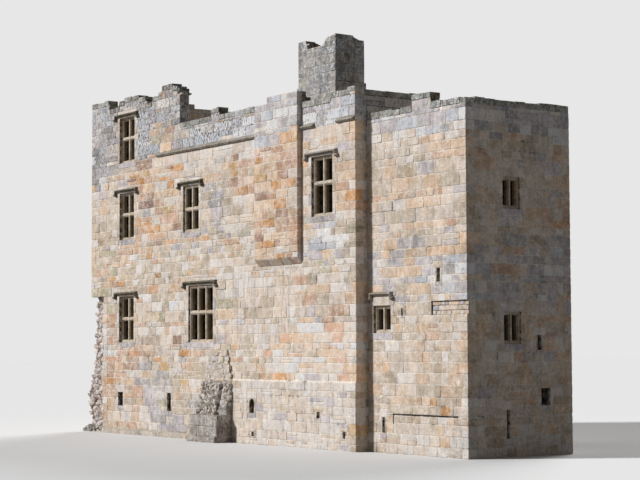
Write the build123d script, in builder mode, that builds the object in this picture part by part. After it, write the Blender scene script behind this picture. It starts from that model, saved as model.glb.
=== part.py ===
from build123d import *
from collections import namedtuple
import os

# A ruined castle keep: a long main block of three storeys with a raised tower at
# its left end, and a lower wing that stands back from the front at its right end.
# Sizes are in millimetres. Each wall face has its own plane, seen from outside:
# x runs along the wall from its left-hand corner, y is the height above the ground.

# Plan of the main block and the wing
MAIN_LENGTH = 17650
MAIN_DEPTH = 8600
MAIN_WALL = 1050
WING_LENGTH = 4810
WING_DEPTH = 4115
WING_WALL = 850
WING_SETBACK = 455

# Storey heights, and the levels they give
GROUND_STOREY = 2750
FIRST_STOREY = 3850
SECOND_STOREY = 3600
WING_SECOND_STOREY = 3300
FIRST_FLOOR = GROUND_STOREY
SECOND_FLOOR = FIRST_FLOOR + FIRST_STOREY
WALL_WALK = SECOND_FLOOR + SECOND_STOREY
WING_WALK = SECOND_FLOOR + WING_SECOND_STOREY
BOARD_THICK = 80
JOIST_DEPTH = 240
JOIST_WIDTH = 220
JOIST_GAP = 900
DECK = 300

# Broken lower left-hand corner, where an outer wall was torn away. The edge lists
# its points as (share of the bulge, share of the height), from the top down.
TEAR_WIDTH = 1050
TEAR_RISE = 2540
TEAR_TOP = FIRST_FLOOR + TEAR_RISE
TEAR_SETBACK = 280
TEAR_BULGE = 650
TEAR_TOP_WIDTH = 900
TEAR_EDGE = [(0.0, 0.79), (0.12, 0.6), (0.33, 0.42), (1.0, 0.26), (0.67, 0.15)]
STUB_BACK = 1650
STUB_TOP = 2250
FOOTING_REACH = 1050
FOOTING_HEIGHT = 180
FOOTING_FRONT = 60

# Tower at the left-hand end
TOWER_LENGTH = 6850
TOWER_BACKING_RISE = 2150
MERLON_THICK = 390
TOWER_STEP = 700
TOWER_STEP_RISE = 1700
TOWER_CROSS_START = 4500
TOWER_CROSS_WALL = 700
TOWER_ROOF = 150

# Parapet, chimney and string course. A rise is measured from the wall walk.
PARAPET_THICK = 370
PARAPET_RISE = 1260
CORNER_RISE = 1270
LOW_RISE = 1050
MID_RISE = 1180
CORNER_STEP = 400
MID_STEP = 1310
BREAST_FROM_END = 5530
BREAST_WIDTH = 2560
BREAST_PROUD = 170
BREAST_DROP = 500
BREAST_SLOPE = 220
BREAST_STEP = 780
BREAST_RISE = 1480
MERLON_SEAT = 190
STUB_MERLON_START = 9050
STUB_MERLON_LENGTH = 520
STUB_MERLON_RISE = 1530
STACK_OFFSET = 1530
STACK_WIDTH = 2130
STACK_DEPTH = 1170
STACK_SETBACK = 600
STACK_RISE = 3300
STACK_DIP = 300
STACK_BACK_FALL = 200
STACK_BASE_RISE = 1750
STACK_BASE_PROUD = 40
FLUE = 380
FLUE_DEPTH = 1600
STRING_RISE = 270
STRING_HEIGHT = 150
STRING_PROUD = 110
STRING_LIP = 50
STRING_START = 5200
STRING_GAP = 80
STRING_STUB_GAP = 60
STRING_STUB_LENGTH = 700
STRING_CORNER_LENGTH = 950
BREAST_LEFT = MAIN_LENGTH - BREAST_FROM_END
BREAST_RIGHT = BREAST_LEFT + BREAST_WIDTH
BREAST_FOOT = SECOND_FLOOR - BREAST_DROP
PARAPET_TOP = WALL_WALK + PARAPET_RISE
STACK_LEFT = BREAST_LEFT + STACK_OFFSET
STACK_RIGHT = STACK_LEFT + STACK_WIDTH
STACK_TOP = WALL_WALK + STACK_RISE
STRING_LEVEL = WALL_WALK + STRING_RISE

# Broken wall tops, from the far end back to the start, as (share of the length, rise)
FRONT_CREST = [
    (1.0, 2500),
    (0.921, 2780),
    (0.812, 2780),
    (0.801, 2540),
    (0.709, 2400),
    (0.699, 2300),
    (0.638, 2300),
    (0.628, 2500),
    (0.467, 2750),
    (0.33, 2560),
    (0.314, 2400),
    (0.212, 2400),
    (0.197, 2740),
    (0.0, 2740),
]
BACK_CREST = [
    (1.0, 2700),
    (0.803, 2700),
    (0.788, 2350),
    (0.686, 2400),
    (0.672, 2650),
    (0.482, 2600),
    (0.467, 2300),
    (0.365, 2250),
    (0.35, 2550),
    (0.175, 2500),
    (0.161, 2150),
    (0.0, 1900),
]
LEFT_CREST = [
    (1.0, 2740),
    (0.869, 2700),
    (0.854, 2350),
    (0.731, 2400),
    (0.715, 2700),
    (0.515, 2650),
    (0.5, 2300),
    (0.377, 2350),
    (0.362, 2650),
    (0.177, 2600),
    (0.162, 2300),
    (0.0, 2350),
]
REAR_CREST = [
    (1.0, 1150),
    (0.833, 1150),
    (0.824, 900),
    (0.62, 950),
    (0.611, 1200),
    (0.278, 1260),
    (0.269, 1050),
    (0.0, 1050),
]
RIGHT_CREST = [(1.0, 1050), (0.564, 1050), (0.551, 800), (0.284, 850), (0.271, 1180), (0.0, 1180)]

# Foot of the front wall
SETOFF_LEVEL = 2200
SETOFF_PROUD = 40
SETOFF_SLOPE = 60
PLINTH_TOP = 220
PLINTH_PROUD = 100
PLINTH_GAP = 100

# Stump of a torn wall that stood out from the front
PIER_LEFT = 8650
PIER_WIDTH = 1790
PIER_PROUD = 650
PIER_TOP = 930
PIER_BASE_TOP = 200
PIER_BASE_PROUD = 90
PIER_SHOULDER_TOP = 1330
PIER_SHOULDER_WIDTH = 560
PIER_SHOULDER_PROUD = 250
CORE_TOP = 2100
CORE_PROUD = 360
SCAR_TOP = 3200
SCAR_PROUD = 70

# Window frames: jambs, mullions and transoms of dressed stone with bevelled edges
FRAME_DEPTH = 160
JAMB = 105
MULLION = 150
BEVEL = 45
SPLAY = 260
SLIT_LIP = 120
SLIT_SPLAY = 330
PUTLOG_DEPTH = 400

# Hood moulds over the windows
HOOD_GAP = 60
HOOD_BAR = 110
HOOD_OVERHANG = 180
HOOD_DROP = 150
HOOD_STOP = 170
HOOD_PROUD = 120
WING_HOOD_GAP = 320
WING_HOOD_OVERHANG = 20

# Doorways
DOOR_WIDTH = 1250
DOOR_SPRING = 1500
DOOR_RISE = 520
INNER_DOOR_WIDTH = 850
INNER_DOOR_SPRING = 1650
INNER_DOOR_RISE = 260
BACK_DOOR_ALONG = 5200

# Wing details
WING_PARAPET = 350
WING_PARAPET_RISE = 650
WING_CREST_START = 2300
WING_CREST_LENGTH = 900
WING_CREST_RISE = 1000
WING_TEAR_LENGTH = 1660
WING_TEAR_SILL = 1450
WING_TEAR_HEIGHT = 420
WING_TEAR_DEPTH = 60
GROOVE_START = 1250
GROOVE_LENGTH = 3100
GROOVE_LEVEL = 1170
GROOVE_HEIGHT = 55
GROOVE_DEPTH = 50
GROOVE_LEG = 270

Window = namedtuple("Window", "along sill width height lights transom recess")
Slit = namedtuple("Slit", "along sill width height")

# Windows and slits of each face. A transom is measured from its window's sill,
# and a recess from the face of the wall to the face of the frame.
FIRST_SILL = FIRST_FLOOR + 740
SECOND_SILL = SECOND_FLOOR + 850
TOWER_SILL = WALL_WALK + 210
BACK_AXIS = MAIN_LENGTH - 2850
BACK_RECESS = 90
TOWER_WINDOW = Window(2865, TOWER_SILL, 1190, 1760, 2, 950, 100)
SECOND_WINDOWS = [
    Window(2860, SECOND_FLOOR + 830, 1140, 1810, 2, 980, 100),
    Window(7645, SECOND_SILL, 1090, 1700, 2, 840, 60),
    Window(MAIN_LENGTH - 1815, SECOND_FLOOR + 880, 1170, 1950, 2, 1080, 75),
]
FIRST_WINDOWS = [
    Window(2855, FIRST_SILL, 1150, 1770, 2, 900, 100),
    Window(8320, FIRST_FLOOR + 710, 1680, 2040, 3, 1070, 55),
]
BACK_FIRST_WINDOWS = [
    Window(8600, FIRST_FLOOR + 710, 1150, 1900, 2, 970, BACK_RECESS),
    Window(BACK_AXIS, FIRST_SILL, 1150, 1770, 2, 900, BACK_RECESS),
]
BACK_SECOND_WINDOWS = [
    Window(8600, SECOND_SILL, 1100, 1800, 2, 900, BACK_RECESS),
    Window(BACK_AXIS, SECOND_SILL, 1100, 1800, 2, 900, BACK_RECESS),
]
BACK_TOWER_WINDOW = Window(BACK_AXIS, TOWER_SILL, 1100, 1700, 2, 900, BACK_RECESS)
LEFT_FIRST_WINDOW = Window(MAIN_DEPTH / 2, FIRST_SILL, 1150, 1770, 2, 900, BACK_RECESS)
LEFT_SECOND_WINDOW = Window(MAIN_DEPTH / 2, SECOND_SILL, 1100, 1800, 2, 900, BACK_RECESS)
WING_FRONT_WINDOW = Window(740, FIRST_FLOOR + 940, 880, 850, 2, 0, 70)
WING_SIDE_WINDOW = Window(1745, FIRST_FLOOR + 580, 680, 960, 2, 0, 70)
WING_UPPER_WINDOW = Window(1745, SECOND_FLOOR + 750, 680, 960, 2, 0, 70)

FRONT_SLITS = [Slit(2415, 1070, 370, 520), Slit(6105, 960, 270, 660)]
ROUND_SLIT = Slit(11730, 1050, 300, 480)
FRONT_HOLES = [
    Slit(11780, 270, 140, 150),
    Slit(MAIN_LENGTH - 600, 390, 140, 220),
    Slit(MAIN_LENGTH - 2025, 980, 150, 210),
]
BACK_SLITS = [
    Slit(2400, 1000, 270, 600),
    Slit(11500, 1000, 270, 600),
    Slit(MAIN_LENGTH - 2750, 1000, 270, 600),
]
LEFT_SLIT = Slit(MAIN_DEPTH / 2, 1000, 270, 600)
RIGHT_SLIT = Slit(MAIN_DEPTH - 2200, SECOND_FLOOR + 1100, 270, 600)
WING_FRONT_SLITS = [Slit(3500, FIRST_FLOOR + 2440, 160, 410), Slit(790, 620, 120, 480)]
WING_FRONT_HOLE = Slit(1740, FIRST_FLOOR + 1460, 100, 220)
WING_SIDE_SLITS = [Slit(1535, 540, 110, 850), Slit(WING_DEPTH - 1305, FIRST_FLOOR + 400, 150, 450)]
WING_SIDE_HOLE = Slit(WING_DEPTH - 1075, 1500, 360, 510)
WING_BACK_SLITS = [Slit(WING_LENGTH / 2, 1000, 160, 600), Slit(WING_LENGTH / 2, FIRST_FLOOR + 850, 200, 600)]
WING_BACK_UPPER_SLIT = Slit(WING_LENGTH / 2, SECOND_FLOOR + 1000, 200, 600)

# The origin lies on the ground under the middle of the whole ruin
LEFT_REACH = -FOOTING_REACH
RIGHT_REACH = MAIN_LENGTH + WING_LENGTH
FRONT_REACH = -(PIER_PROUD + PIER_BASE_PROUD)
BACK_REACH = MAIN_DEPTH + HOOD_PROUD
corner_x = -(LEFT_REACH + RIGHT_REACH) / 2
corner_y = -(FRONT_REACH + BACK_REACH) / 2
right_x = corner_x + MAIN_LENGTH
back_y = corner_y + MAIN_DEPTH
wing_y = corner_y + WING_SETBACK

front = Plane(origin=(corner_x, corner_y, 0), x_dir=(1, 0, 0), z_dir=(0, -1, 0))
back = Plane(origin=(right_x, back_y, 0), x_dir=(-1, 0, 0), z_dir=(0, 1, 0))
left = Plane(origin=(corner_x, back_y, 0), x_dir=(0, -1, 0), z_dir=(-1, 0, 0))
right = Plane(origin=(right_x, corner_y, 0), x_dir=(0, 1, 0), z_dir=(1, 0, 0))
wing_front = Plane(origin=(right_x, wing_y, 0), x_dir=(1, 0, 0), z_dir=(0, -1, 0))
wing_side = Plane(
    origin=(right_x + WING_LENGTH, wing_y, 0), x_dir=(0, 1, 0), z_dir=(1, 0, 0)
)
wing_back = Plane(
    origin=(right_x + WING_LENGTH, wing_y + WING_DEPTH, 0), x_dir=(-1, 0, 0), z_dir=(0, 1, 0)
)

os.makedirs("parts", exist_ok=True)


def span(start, end, low, high):
    """A rectangle in the open sketch, from start to end and from low to high."""
    with Locations(((start + end) / 2, (low + high) / 2)):
        Rectangle(end - start, high - low)


def slab(face, start, end, low, high, thickness):
    """A plain length of wall, taken inwards from the face."""
    with BuildSketch(face) as outline:
        span(start, end, low, high)
    extrude(outline.sketch, amount=-thickness)


def shaped_slab(face, points, thickness):
    """A wall with a broken outline, taken inwards from the face."""
    with BuildSketch(face) as outline:
        Polygon(*points, align=None)
    extrude(outline.sketch, amount=-thickness)


def broken_wall(face, start, end, foot, crest, thickness):
    """A wall with a level foot and a broken top."""
    top = [(start + (end - start) * share, foot + rise) for share, rise in crest]
    shaped_slab(face, [(start, foot), (end, foot)] + top, thickness)


def cut_splay(face, opening, straight, depth, splay):
    """A hole through a wall: straight behind the face, then with splayed jambs."""
    half = opening.width / 2
    sill = Plane(
        origin=face.from_local_coords((opening.along, opening.sill, 0)),
        x_dir=face.x_dir,
        z_dir=(0, 0, 1),
    )
    with BuildSketch(sill) as plan:
        Polygon(
            (-half, 0),
            (half, 0),
            (half, straight),
            (half + splay, depth),
            (-half - splay, depth),
            (-half, straight),
            align=None,
        )
    extrude(plan.sketch, amount=opening.height, mode=Mode.SUBTRACT)


def cut_window(face, window, depth):
    """The bed for a window frame and the splayed embrasure behind it."""
    cut_splay(face, window, window.recess + FRAME_DEPTH, depth, SPLAY)


def cut_slit(face, slit, depth):
    """A narrow loop that widens towards the room."""
    cut_splay(face, slit, SLIT_LIP, depth, SLIT_SPLAY)


def cut_hole(face, hole, depth):
    """A blind socket left by a scaffold pole or a lost stone."""
    with BuildSketch(face) as mouth:
        with Locations((hole.along, hole.sill + hole.height / 2)):
            Rectangle(hole.width, hole.height)
    extrude(mouth.sketch, amount=-depth, mode=Mode.SUBTRACT)


def cut_doorway(face, along, sill, width, spring, rise, depth):
    """A doorway with an arched head, cut straight through."""
    with BuildSketch(face) as opening:
        with BuildLine():
            Polyline(
                (along - width / 2, sill + spring),
                (along - width / 2, sill),
                (along + width / 2, sill),
                (along + width / 2, sill + spring),
            )
            ThreePointArc(
                (along + width / 2, sill + spring),
                (along, sill + spring + rise),
                (along - width / 2, sill + spring),
            )
        make_face()
    extrude(opening.sketch, amount=-depth, mode=Mode.SUBTRACT)


def cut_round_slit(face, slit, depth):
    """A loop with a round head at the face and a flat head to the splay behind it."""
    rise = slit.width / 2
    cut_doorway(face, slit.along, slit.sill, slit.width, slit.height - rise, rise, SLIT_LIP)
    cut_slit(face.offset(-SLIT_LIP), slit, depth - SLIT_LIP)


def frame_solid(face, window):
    """One window frame: a stone grid whose lights have bevelled edges outside."""
    outside = face.offset(-window.recess)
    start = window.along - window.width / 2
    light = (window.width - 2 * JAMB - (window.lights - 1) * MULLION) / window.lights
    low = window.sill + JAMB
    high = window.sill + window.height - JAMB
    rows = [(low, high)]
    if window.transom:
        middle = window.sill + window.transom
        rows = [(low, middle - MULLION / 2), (middle + MULLION / 2, high)]
    slab(outside, start, start + window.width, window.sill, window.sill + window.height, FRAME_DEPTH)
    with BuildSketch(outside) as lights:
        for column in range(window.lights):
            light_start = start + JAMB + column * (light + MULLION)
            for bottom, top in rows:
                span(light_start, light_start + light, bottom, top)
    extrude(lights.sketch, amount=-FRAME_DEPTH, mode=Mode.SUBTRACT)
    rims = [edge for edge in edges(Select.LAST) if abs(outside.to_local_coords(edge.center()).Z) < BEVEL / 2]
    chamfer(rims, length=BEVEL)


def hood_solid(face, window, gap=HOOD_GAP, overhang=HOOD_OVERHANG):
    """A label over a window: one moulding swept up, across, down and out to its stops."""
    level = window.sill + window.height + gap
    start = window.along - window.width / 2 - overhang
    end = window.along + window.width / 2 + overhang
    drop = level - HOOD_DROP
    with BuildLine(face) as route:
        Polyline(
            (start - HOOD_STOP, drop),
            (start, drop),
            (start, level),
            (end, level),
            (end, drop),
            (end + HOOD_STOP, drop),
        )
    section = Plane(origin=route.line @ 0, x_dir=face.z_dir, z_dir=-face.x_dir)
    with BuildSketch(section) as profile:
        Polygon(
            (0, 0),
            (HOOD_PROUD / 2, 0),
            (HOOD_PROUD, HOOD_BAR / 3),
            (HOOD_PROUD, HOOD_BAR * 2 / 3),
            (0, HOOD_BAR),
            align=None,
        )
    sweep(profile.sketch, path=route.line, transition=Transition.RIGHT)


def moulding(face, start, end, profile):
    """A band along a face; the profile gives its distance out and its height."""
    section = Plane(
        origin=face.from_local_coords((end, 0, 0)), x_dir=face.z_dir, z_dir=-face.x_dir
    )
    with BuildSketch(section) as shape:
        Polygon(*profile, align=None)
    extrude(shape.sketch, amount=end - start)


def string_profile(level):
    """A string course with a hollow under its lip and a weathered top."""
    return [
        (0, level - STRING_HEIGHT / 2),
        (STRING_PROUD / 2, level - STRING_HEIGHT / 2),
        (STRING_PROUD, level - STRING_HEIGHT / 2 + STRING_LIP),
        (STRING_PROUD, level),
        (0, level + STRING_HEIGHT / 2),
    ]


# Front wall, storey by storey. Its outer skin stops short over the torn corner.
with BuildPart() as front_wall_basement:
    slab(front, TEAR_WIDTH, MAIN_LENGTH, 0, FIRST_FLOOR, MAIN_WALL)
    moulding(
        front,
        PIER_LEFT + PIER_WIDTH,
        MAIN_LENGTH,
        [(0, 0), (SETOFF_PROUD, 0), (SETOFF_PROUD, SETOFF_LEVEL - SETOFF_SLOPE), (0, SETOFF_LEVEL)],
    )
    for slit in FRONT_SLITS:
        cut_slit(front, slit, MAIN_WALL)
    cut_round_slit(front.offset(SETOFF_PROUD), ROUND_SLIT, MAIN_WALL + SETOFF_PROUD)
    for hole in FRONT_HOLES:
        cut_hole(front.offset(SETOFF_PROUD), hole, PUTLOG_DEPTH)

with BuildPart() as front_wall_first_storey:
    shaped_slab(
        front,
        [
            (TEAR_WIDTH, FIRST_FLOOR),
            (MAIN_LENGTH, FIRST_FLOOR),
            (MAIN_LENGTH, SECOND_FLOOR),
            (0, SECOND_FLOOR),
            (0, TEAR_TOP),
            (TEAR_WIDTH, TEAR_TOP),
        ],
        MAIN_WALL,
    )
    for window in FIRST_WINDOWS:
        cut_window(front, window, MAIN_WALL)

with BuildPart() as front_wall_second_storey:
    slab(front, 0, MAIN_LENGTH, SECOND_FLOOR, WALL_WALK, MAIN_WALL)
    for window in SECOND_WINDOWS:
        cut_window(front, window, MAIN_WALL)


# Tower walls above the wall walk: a thin front with worn merlons, and a thicker
# backing whose end next to the lower roof is broken down by a step.
with BuildPart() as tower_front_wall:
    broken_wall(front, 0, TOWER_LENGTH, WALL_WALK, FRONT_CREST, MERLON_THICK)
    slab(front, 0, TOWER_LENGTH, WALL_WALK, WALL_WALK + TOWER_STEP_RISE, MAIN_WALL)
    slab(front, 0, TOWER_LENGTH - TOWER_STEP, WALL_WALK, WALL_WALK + TOWER_BACKING_RISE, MAIN_WALL)
    cut_window(front, TOWER_WINDOW, MAIN_WALL)

with BuildPart() as tower_back_wall:
    tower_start = MAIN_LENGTH - TOWER_LENGTH
    broken_wall(back, tower_start, MAIN_LENGTH, WALL_WALK, BACK_CREST, MERLON_THICK)
    slab(back, tower_start, MAIN_LENGTH, WALL_WALK, WALL_WALK + TOWER_STEP_RISE, MAIN_WALL)
    slab(
        back,
        tower_start + TOWER_STEP,
        MAIN_LENGTH,
        WALL_WALK,
        WALL_WALK + TOWER_BACKING_RISE,
        MAIN_WALL,
    )
    cut_window(back, BACK_TOWER_WINDOW, MAIN_WALL)

with BuildPart() as tower_left_wall:
    side_end = MAIN_DEPTH - MAIN_WALL
    broken_wall(left, MAIN_WALL, side_end, WALL_WALK, LEFT_CREST, MERLON_THICK)
    slab(left, MAIN_WALL, side_end, WALL_WALK, WALL_WALK + TOWER_BACKING_RISE, MAIN_WALL)

# Cross wall that closes the tower's room, with a doorway to the lower roof.
with BuildPart() as tower_right_wall:
    cross_x = corner_x + TOWER_CROSS_START + TOWER_CROSS_WALL
    cross = Plane(origin=(cross_x, corner_y, 0), x_dir=(0, 1, 0), z_dir=(1, 0, 0))
    slab(cross, MAIN_WALL, side_end, WALL_WALK, WALL_WALK + TOWER_BACKING_RISE, TOWER_CROSS_WALL)
    cut_doorway(
        cross,
        MAIN_DEPTH / 2,
        WALL_WALK,
        INNER_DOOR_WIDTH,
        INNER_DOOR_SPRING,
        INNER_DOOR_RISE,
        TOWER_CROSS_WALL,
    )

# Parapet of the main block, broken into steps of different heights.
with BuildPart() as front_parapet:
    for start, end, rise, thickness in (
        (TOWER_LENGTH, BREAST_RIGHT, PARAPET_RISE, PARAPET_THICK),
        (STUB_MERLON_START, STUB_MERLON_START + STUB_MERLON_LENGTH, STUB_MERLON_RISE, PARAPET_THICK),
        (BREAST_LEFT + BREAST_STEP, BREAST_RIGHT, BREAST_RISE, MERLON_SEAT),
        (BREAST_RIGHT, MAIN_LENGTH, LOW_RISE, PARAPET_THICK),
        (MAIN_LENGTH - MID_STEP, MAIN_LENGTH, MID_RISE, PARAPET_THICK),
        (MAIN_LENGTH - CORNER_STEP, MAIN_LENGTH, CORNER_RISE, PARAPET_THICK),
    ):
        slab(front, start, end, WALL_WALK, WALL_WALK + rise, thickness)

with BuildPart() as rear_parapet:
    broken_wall(back, 0, MAIN_LENGTH - TOWER_LENGTH, WALL_WALK, REAR_CREST, PARAPET_THICK)
    broken_wall(
        right,
        PARAPET_THICK,
        MAIN_DEPTH - PARAPET_THICK,
        WALL_WALK,
        RIGHT_CREST,
        PARAPET_THICK,
    )

# Chimney breast: a shallow projection on a sloping foot, up to the parapet's top,
# and part of it a little higher as a merlon.
with BuildPart() as chimney_breast:
    moulding(
        front,
        BREAST_LEFT,
        BREAST_RIGHT,
        [
            (0, BREAST_FOOT - BREAST_SLOPE / 2),
            (BREAST_PROUD, BREAST_FOOT + BREAST_SLOPE / 2),
            (BREAST_PROUD, PARAPET_TOP),
            (0, PARAPET_TOP),
        ],
    )
    slab(
        front.offset(BREAST_PROUD),
        BREAST_LEFT + BREAST_STEP,
        BREAST_RIGHT,
        PARAPET_TOP,
        WALL_WALK + BREAST_RISE,
        BREAST_PROUD,
    )

# Chimney stack behind the parapet, with a broken top and open flues.
with BuildPart() as chimney_stack:
    stack_face = front.offset(-STACK_SETBACK)
    shaped_slab(
        stack_face,
        [
            (STACK_LEFT, WALL_WALK),
            (STACK_RIGHT, WALL_WALK),
            (STACK_RIGHT, STACK_TOP),
            (STACK_RIGHT - STACK_WIDTH / 4, STACK_TOP - STACK_DIP / 3),
            (STACK_RIGHT - STACK_WIDTH / 3, STACK_TOP - STACK_DIP),
            (STACK_LEFT + STACK_WIDTH / 4, STACK_TOP - STACK_DIP),
            (STACK_LEFT + STACK_WIDTH / 5, STACK_TOP),
            (STACK_LEFT, STACK_TOP),
        ],
        STACK_DEPTH,
    )
    slab(
        stack_face.offset(STACK_BASE_PROUD),
        STACK_LEFT - STACK_BASE_PROUD,
        STACK_RIGHT + STACK_BASE_PROUD,
        WALL_WALK,
        WALL_WALK + STACK_BASE_RISE,
        STACK_DEPTH + 2 * STACK_BASE_PROUD,
    )
    middle = stack_face.from_local_coords(((STACK_LEFT + STACK_RIGHT) / 2, 0, -STACK_DEPTH / 2))
    with BuildSketch(Plane.XY.offset(STACK_TOP)) as flues:
        with Locations(middle):
            with GridLocations(STACK_WIDTH / 2, 0, 2, 1):
                Rectangle(FLUE * 3 / 2, FLUE)
    extrude(amount=-FLUE_DEPTH, mode=Mode.SUBTRACT)
    stack_side = Plane(
        origin=stack_face.from_local_coords((STACK_RIGHT, 0, 0)), x_dir=(0, 1, 0), z_dir=(1, 0, 0)
    )
    with BuildSketch(stack_side) as fall:
        Polygon(
            (STACK_DEPTH / 2, STACK_TOP),
            (STACK_DEPTH, STACK_TOP - STACK_BACK_FALL),
            (STACK_DEPTH, STACK_TOP),
            align=None,
        )
    extrude(amount=-STACK_WIDTH, mode=Mode.SUBTRACT)

# String course at the foot of the parapet, with two short lengths left at the right.
with BuildPart() as string_course:
    for start, end in (
        (STRING_START, BREAST_LEFT - STRING_GAP),
        (BREAST_RIGHT + STRING_STUB_GAP, BREAST_RIGHT + STRING_STUB_GAP + STRING_STUB_LENGTH),
        (MAIN_LENGTH - STRING_CORNER_LENGTH, MAIN_LENGTH),
    ):
        moulding(front, start, end, string_profile(STRING_LEVEL))

# Plinth at the foot of the front wall, left of the torn pier.
with BuildPart() as front_plinth:
    moulding(
        front,
        TEAR_WIDTH,
        PIER_LEFT - PLINTH_GAP,
        [(0, 0), (PLINTH_PROUD, 0), (PLINTH_PROUD, PLINTH_TOP - PLINTH_PROUD / 2), (0, PLINTH_TOP)],
    )

# Stump of the torn wall: squared facing below, a broken rubble core above.
pier_end = PIER_LEFT + PIER_WIDTH
with BuildPart() as pier_stump:
    for start, low, high, proud in (
        (PIER_LEFT, 0, PIER_TOP, PIER_PROUD),
        (PIER_LEFT - PIER_BASE_PROUD, 0, PIER_BASE_TOP, PIER_PROUD + PIER_BASE_PROUD),
        (pier_end - PIER_SHOULDER_WIDTH, PIER_TOP, PIER_SHOULDER_TOP, PIER_SHOULDER_PROUD),
    ):
        slab(front.offset(proud), start, pier_end, low, high, proud)

with BuildPart() as pier_rubble:
    core_start = PIER_LEFT + PIER_BASE_PROUD
    core_end = pier_end - PIER_SHOULDER_WIDTH
    moulding(
        front,
        core_start,
        core_end,
        [
            (0, PIER_TOP),
            (CORE_PROUD, PIER_TOP),
            (CORE_PROUD - SCAR_PROUD, (PIER_TOP + CORE_TOP) / 2),
            (CORE_PROUD / 2, CORE_TOP - SCAR_PROUD),
            (SCAR_PROUD, CORE_TOP),
            (0, CORE_TOP),
        ],
    )
    moulding(
        front,
        core_end,
        pier_end,
        [
            (0, PIER_SHOULDER_TOP),
            (PIER_SHOULDER_PROUD - SCAR_PROUD, PIER_SHOULDER_TOP),
            (SCAR_PROUD, CORE_TOP),
            (0, CORE_TOP),
        ],
    )
    with BuildSketch(front) as scar:
        Polygon(
            (core_start, CORE_TOP - SCAR_PROUD),
            (pier_end, CORE_TOP - SCAR_PROUD),
            (pier_end - 2 * SCAR_PROUD, (CORE_TOP + SCAR_TOP) / 2),
            (pier_end - 4 * SCAR_PROUD, SCAR_TOP),
            (core_start + 5 * SCAR_PROUD, SCAR_TOP),
            (core_start + 2 * SCAR_PROUD, (CORE_TOP + SCAR_TOP) / 2),
            align=None,
        )
    extrude(amount=SCAR_PROUD)

# Torn corner: rubble hearting that bulges where an outer wall ran on to the left.
with BuildPart() as torn_corner:
    shaped_slab(
        front.offset(-TEAR_SETBACK),
        [
            (-TEAR_BULGE / 3, FOOTING_HEIGHT),
            (TEAR_WIDTH, FOOTING_HEIGHT),
            (TEAR_WIDTH, TEAR_TOP),
            (TEAR_WIDTH - TEAR_TOP_WIDTH, TEAR_TOP),
        ]
        + [(-TEAR_BULGE * out, TEAR_TOP * up) for out, up in TEAR_EDGE],
        MAIN_WALL - TEAR_SETBACK,
    )
    shaped_slab(
        front.offset(-MAIN_WALL),
        [
            (-TEAR_BULGE / 3, FOOTING_HEIGHT),
            (0, FOOTING_HEIGHT),
            (0, STUB_TOP),
            (-TEAR_BULGE / 4, STUB_TOP * 3 / 4),
            (-TEAR_BULGE / 2, STUB_TOP / 2),
        ],
        STUB_BACK - MAIN_WALL,
    )

with BuildPart() as torn_footing:
    with BuildSketch() as footing_plan:
        with Locations((corner_x, corner_y)):
            Polygon(
                (TEAR_WIDTH, FOOTING_FRONT),
                (TEAR_WIDTH, MAIN_WALL),
                (0, MAIN_WALL),
                (0, STUB_BACK),
                (-TEAR_BULGE, STUB_BACK),
                (-FOOTING_REACH, MAIN_WALL),
                (-FOOTING_REACH, MAIN_WALL / 2),
                (-TEAR_BULGE, FOOTING_FRONT),
                align=None,
            )
    extrude(amount=FOOTING_HEIGHT)

# Left-hand wall, between the front and back walls.
with BuildPart() as left_wall_lower:
    slab(left, MAIN_WALL, side_end, 0, SECOND_FLOOR, MAIN_WALL)
    cut_slit(left, LEFT_SLIT, MAIN_WALL)
    cut_window(left, LEFT_FIRST_WINDOW, MAIN_WALL)

with BuildPart() as left_wall_upper:
    slab(left, MAIN_WALL, side_end, SECOND_FLOOR, WALL_WALK, MAIN_WALL)
    cut_window(left, LEFT_SECOND_WINDOW, MAIN_WALL)

# Back wall, with the entrance on the ground storey.
with BuildPart() as back_wall_basement:
    slab(back, 0, MAIN_LENGTH, 0, FIRST_FLOOR, MAIN_WALL)
    cut_doorway(back, BACK_DOOR_ALONG, 0, DOOR_WIDTH, DOOR_SPRING, DOOR_RISE, MAIN_WALL)
    for slit in BACK_SLITS:
        cut_slit(back, slit, MAIN_WALL)

with BuildPart() as back_wall_first_storey:
    slab(back, 0, MAIN_LENGTH, FIRST_FLOOR, SECOND_FLOOR, MAIN_WALL)
    for window in BACK_FIRST_WINDOWS:
        cut_window(back, window, MAIN_WALL)

with BuildPart() as back_wall_second_storey:
    slab(back, 0, MAIN_LENGTH, SECOND_FLOOR, WALL_WALK, MAIN_WALL)
    for window in BACK_SECOND_WINDOWS:
        cut_window(back, window, MAIN_WALL)

# Right-hand wall of the main block, with a doorway to the wing on each storey.
def cut_inner_doorway(sill):
    """A doorway between the main block and the wing, in the middle of the wing's depth."""
    along = WING_SETBACK + WING_DEPTH / 2
    cut_doorway(right, along, sill, INNER_DOOR_WIDTH, INNER_DOOR_SPRING, INNER_DOOR_RISE, MAIN_WALL)


with BuildPart() as right_wall_lower:
    slab(right, MAIN_WALL, side_end, 0, SECOND_FLOOR, MAIN_WALL)
    cut_inner_doorway(0)
    cut_inner_doorway(FIRST_FLOOR)

with BuildPart() as right_wall_upper:
    slab(right, MAIN_WALL, side_end, SECOND_FLOOR, WALL_WALK, MAIN_WALL)
    cut_inner_doorway(SECOND_FLOOR)
    cut_slit(right, RIGHT_SLIT, MAIN_WALL)

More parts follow.
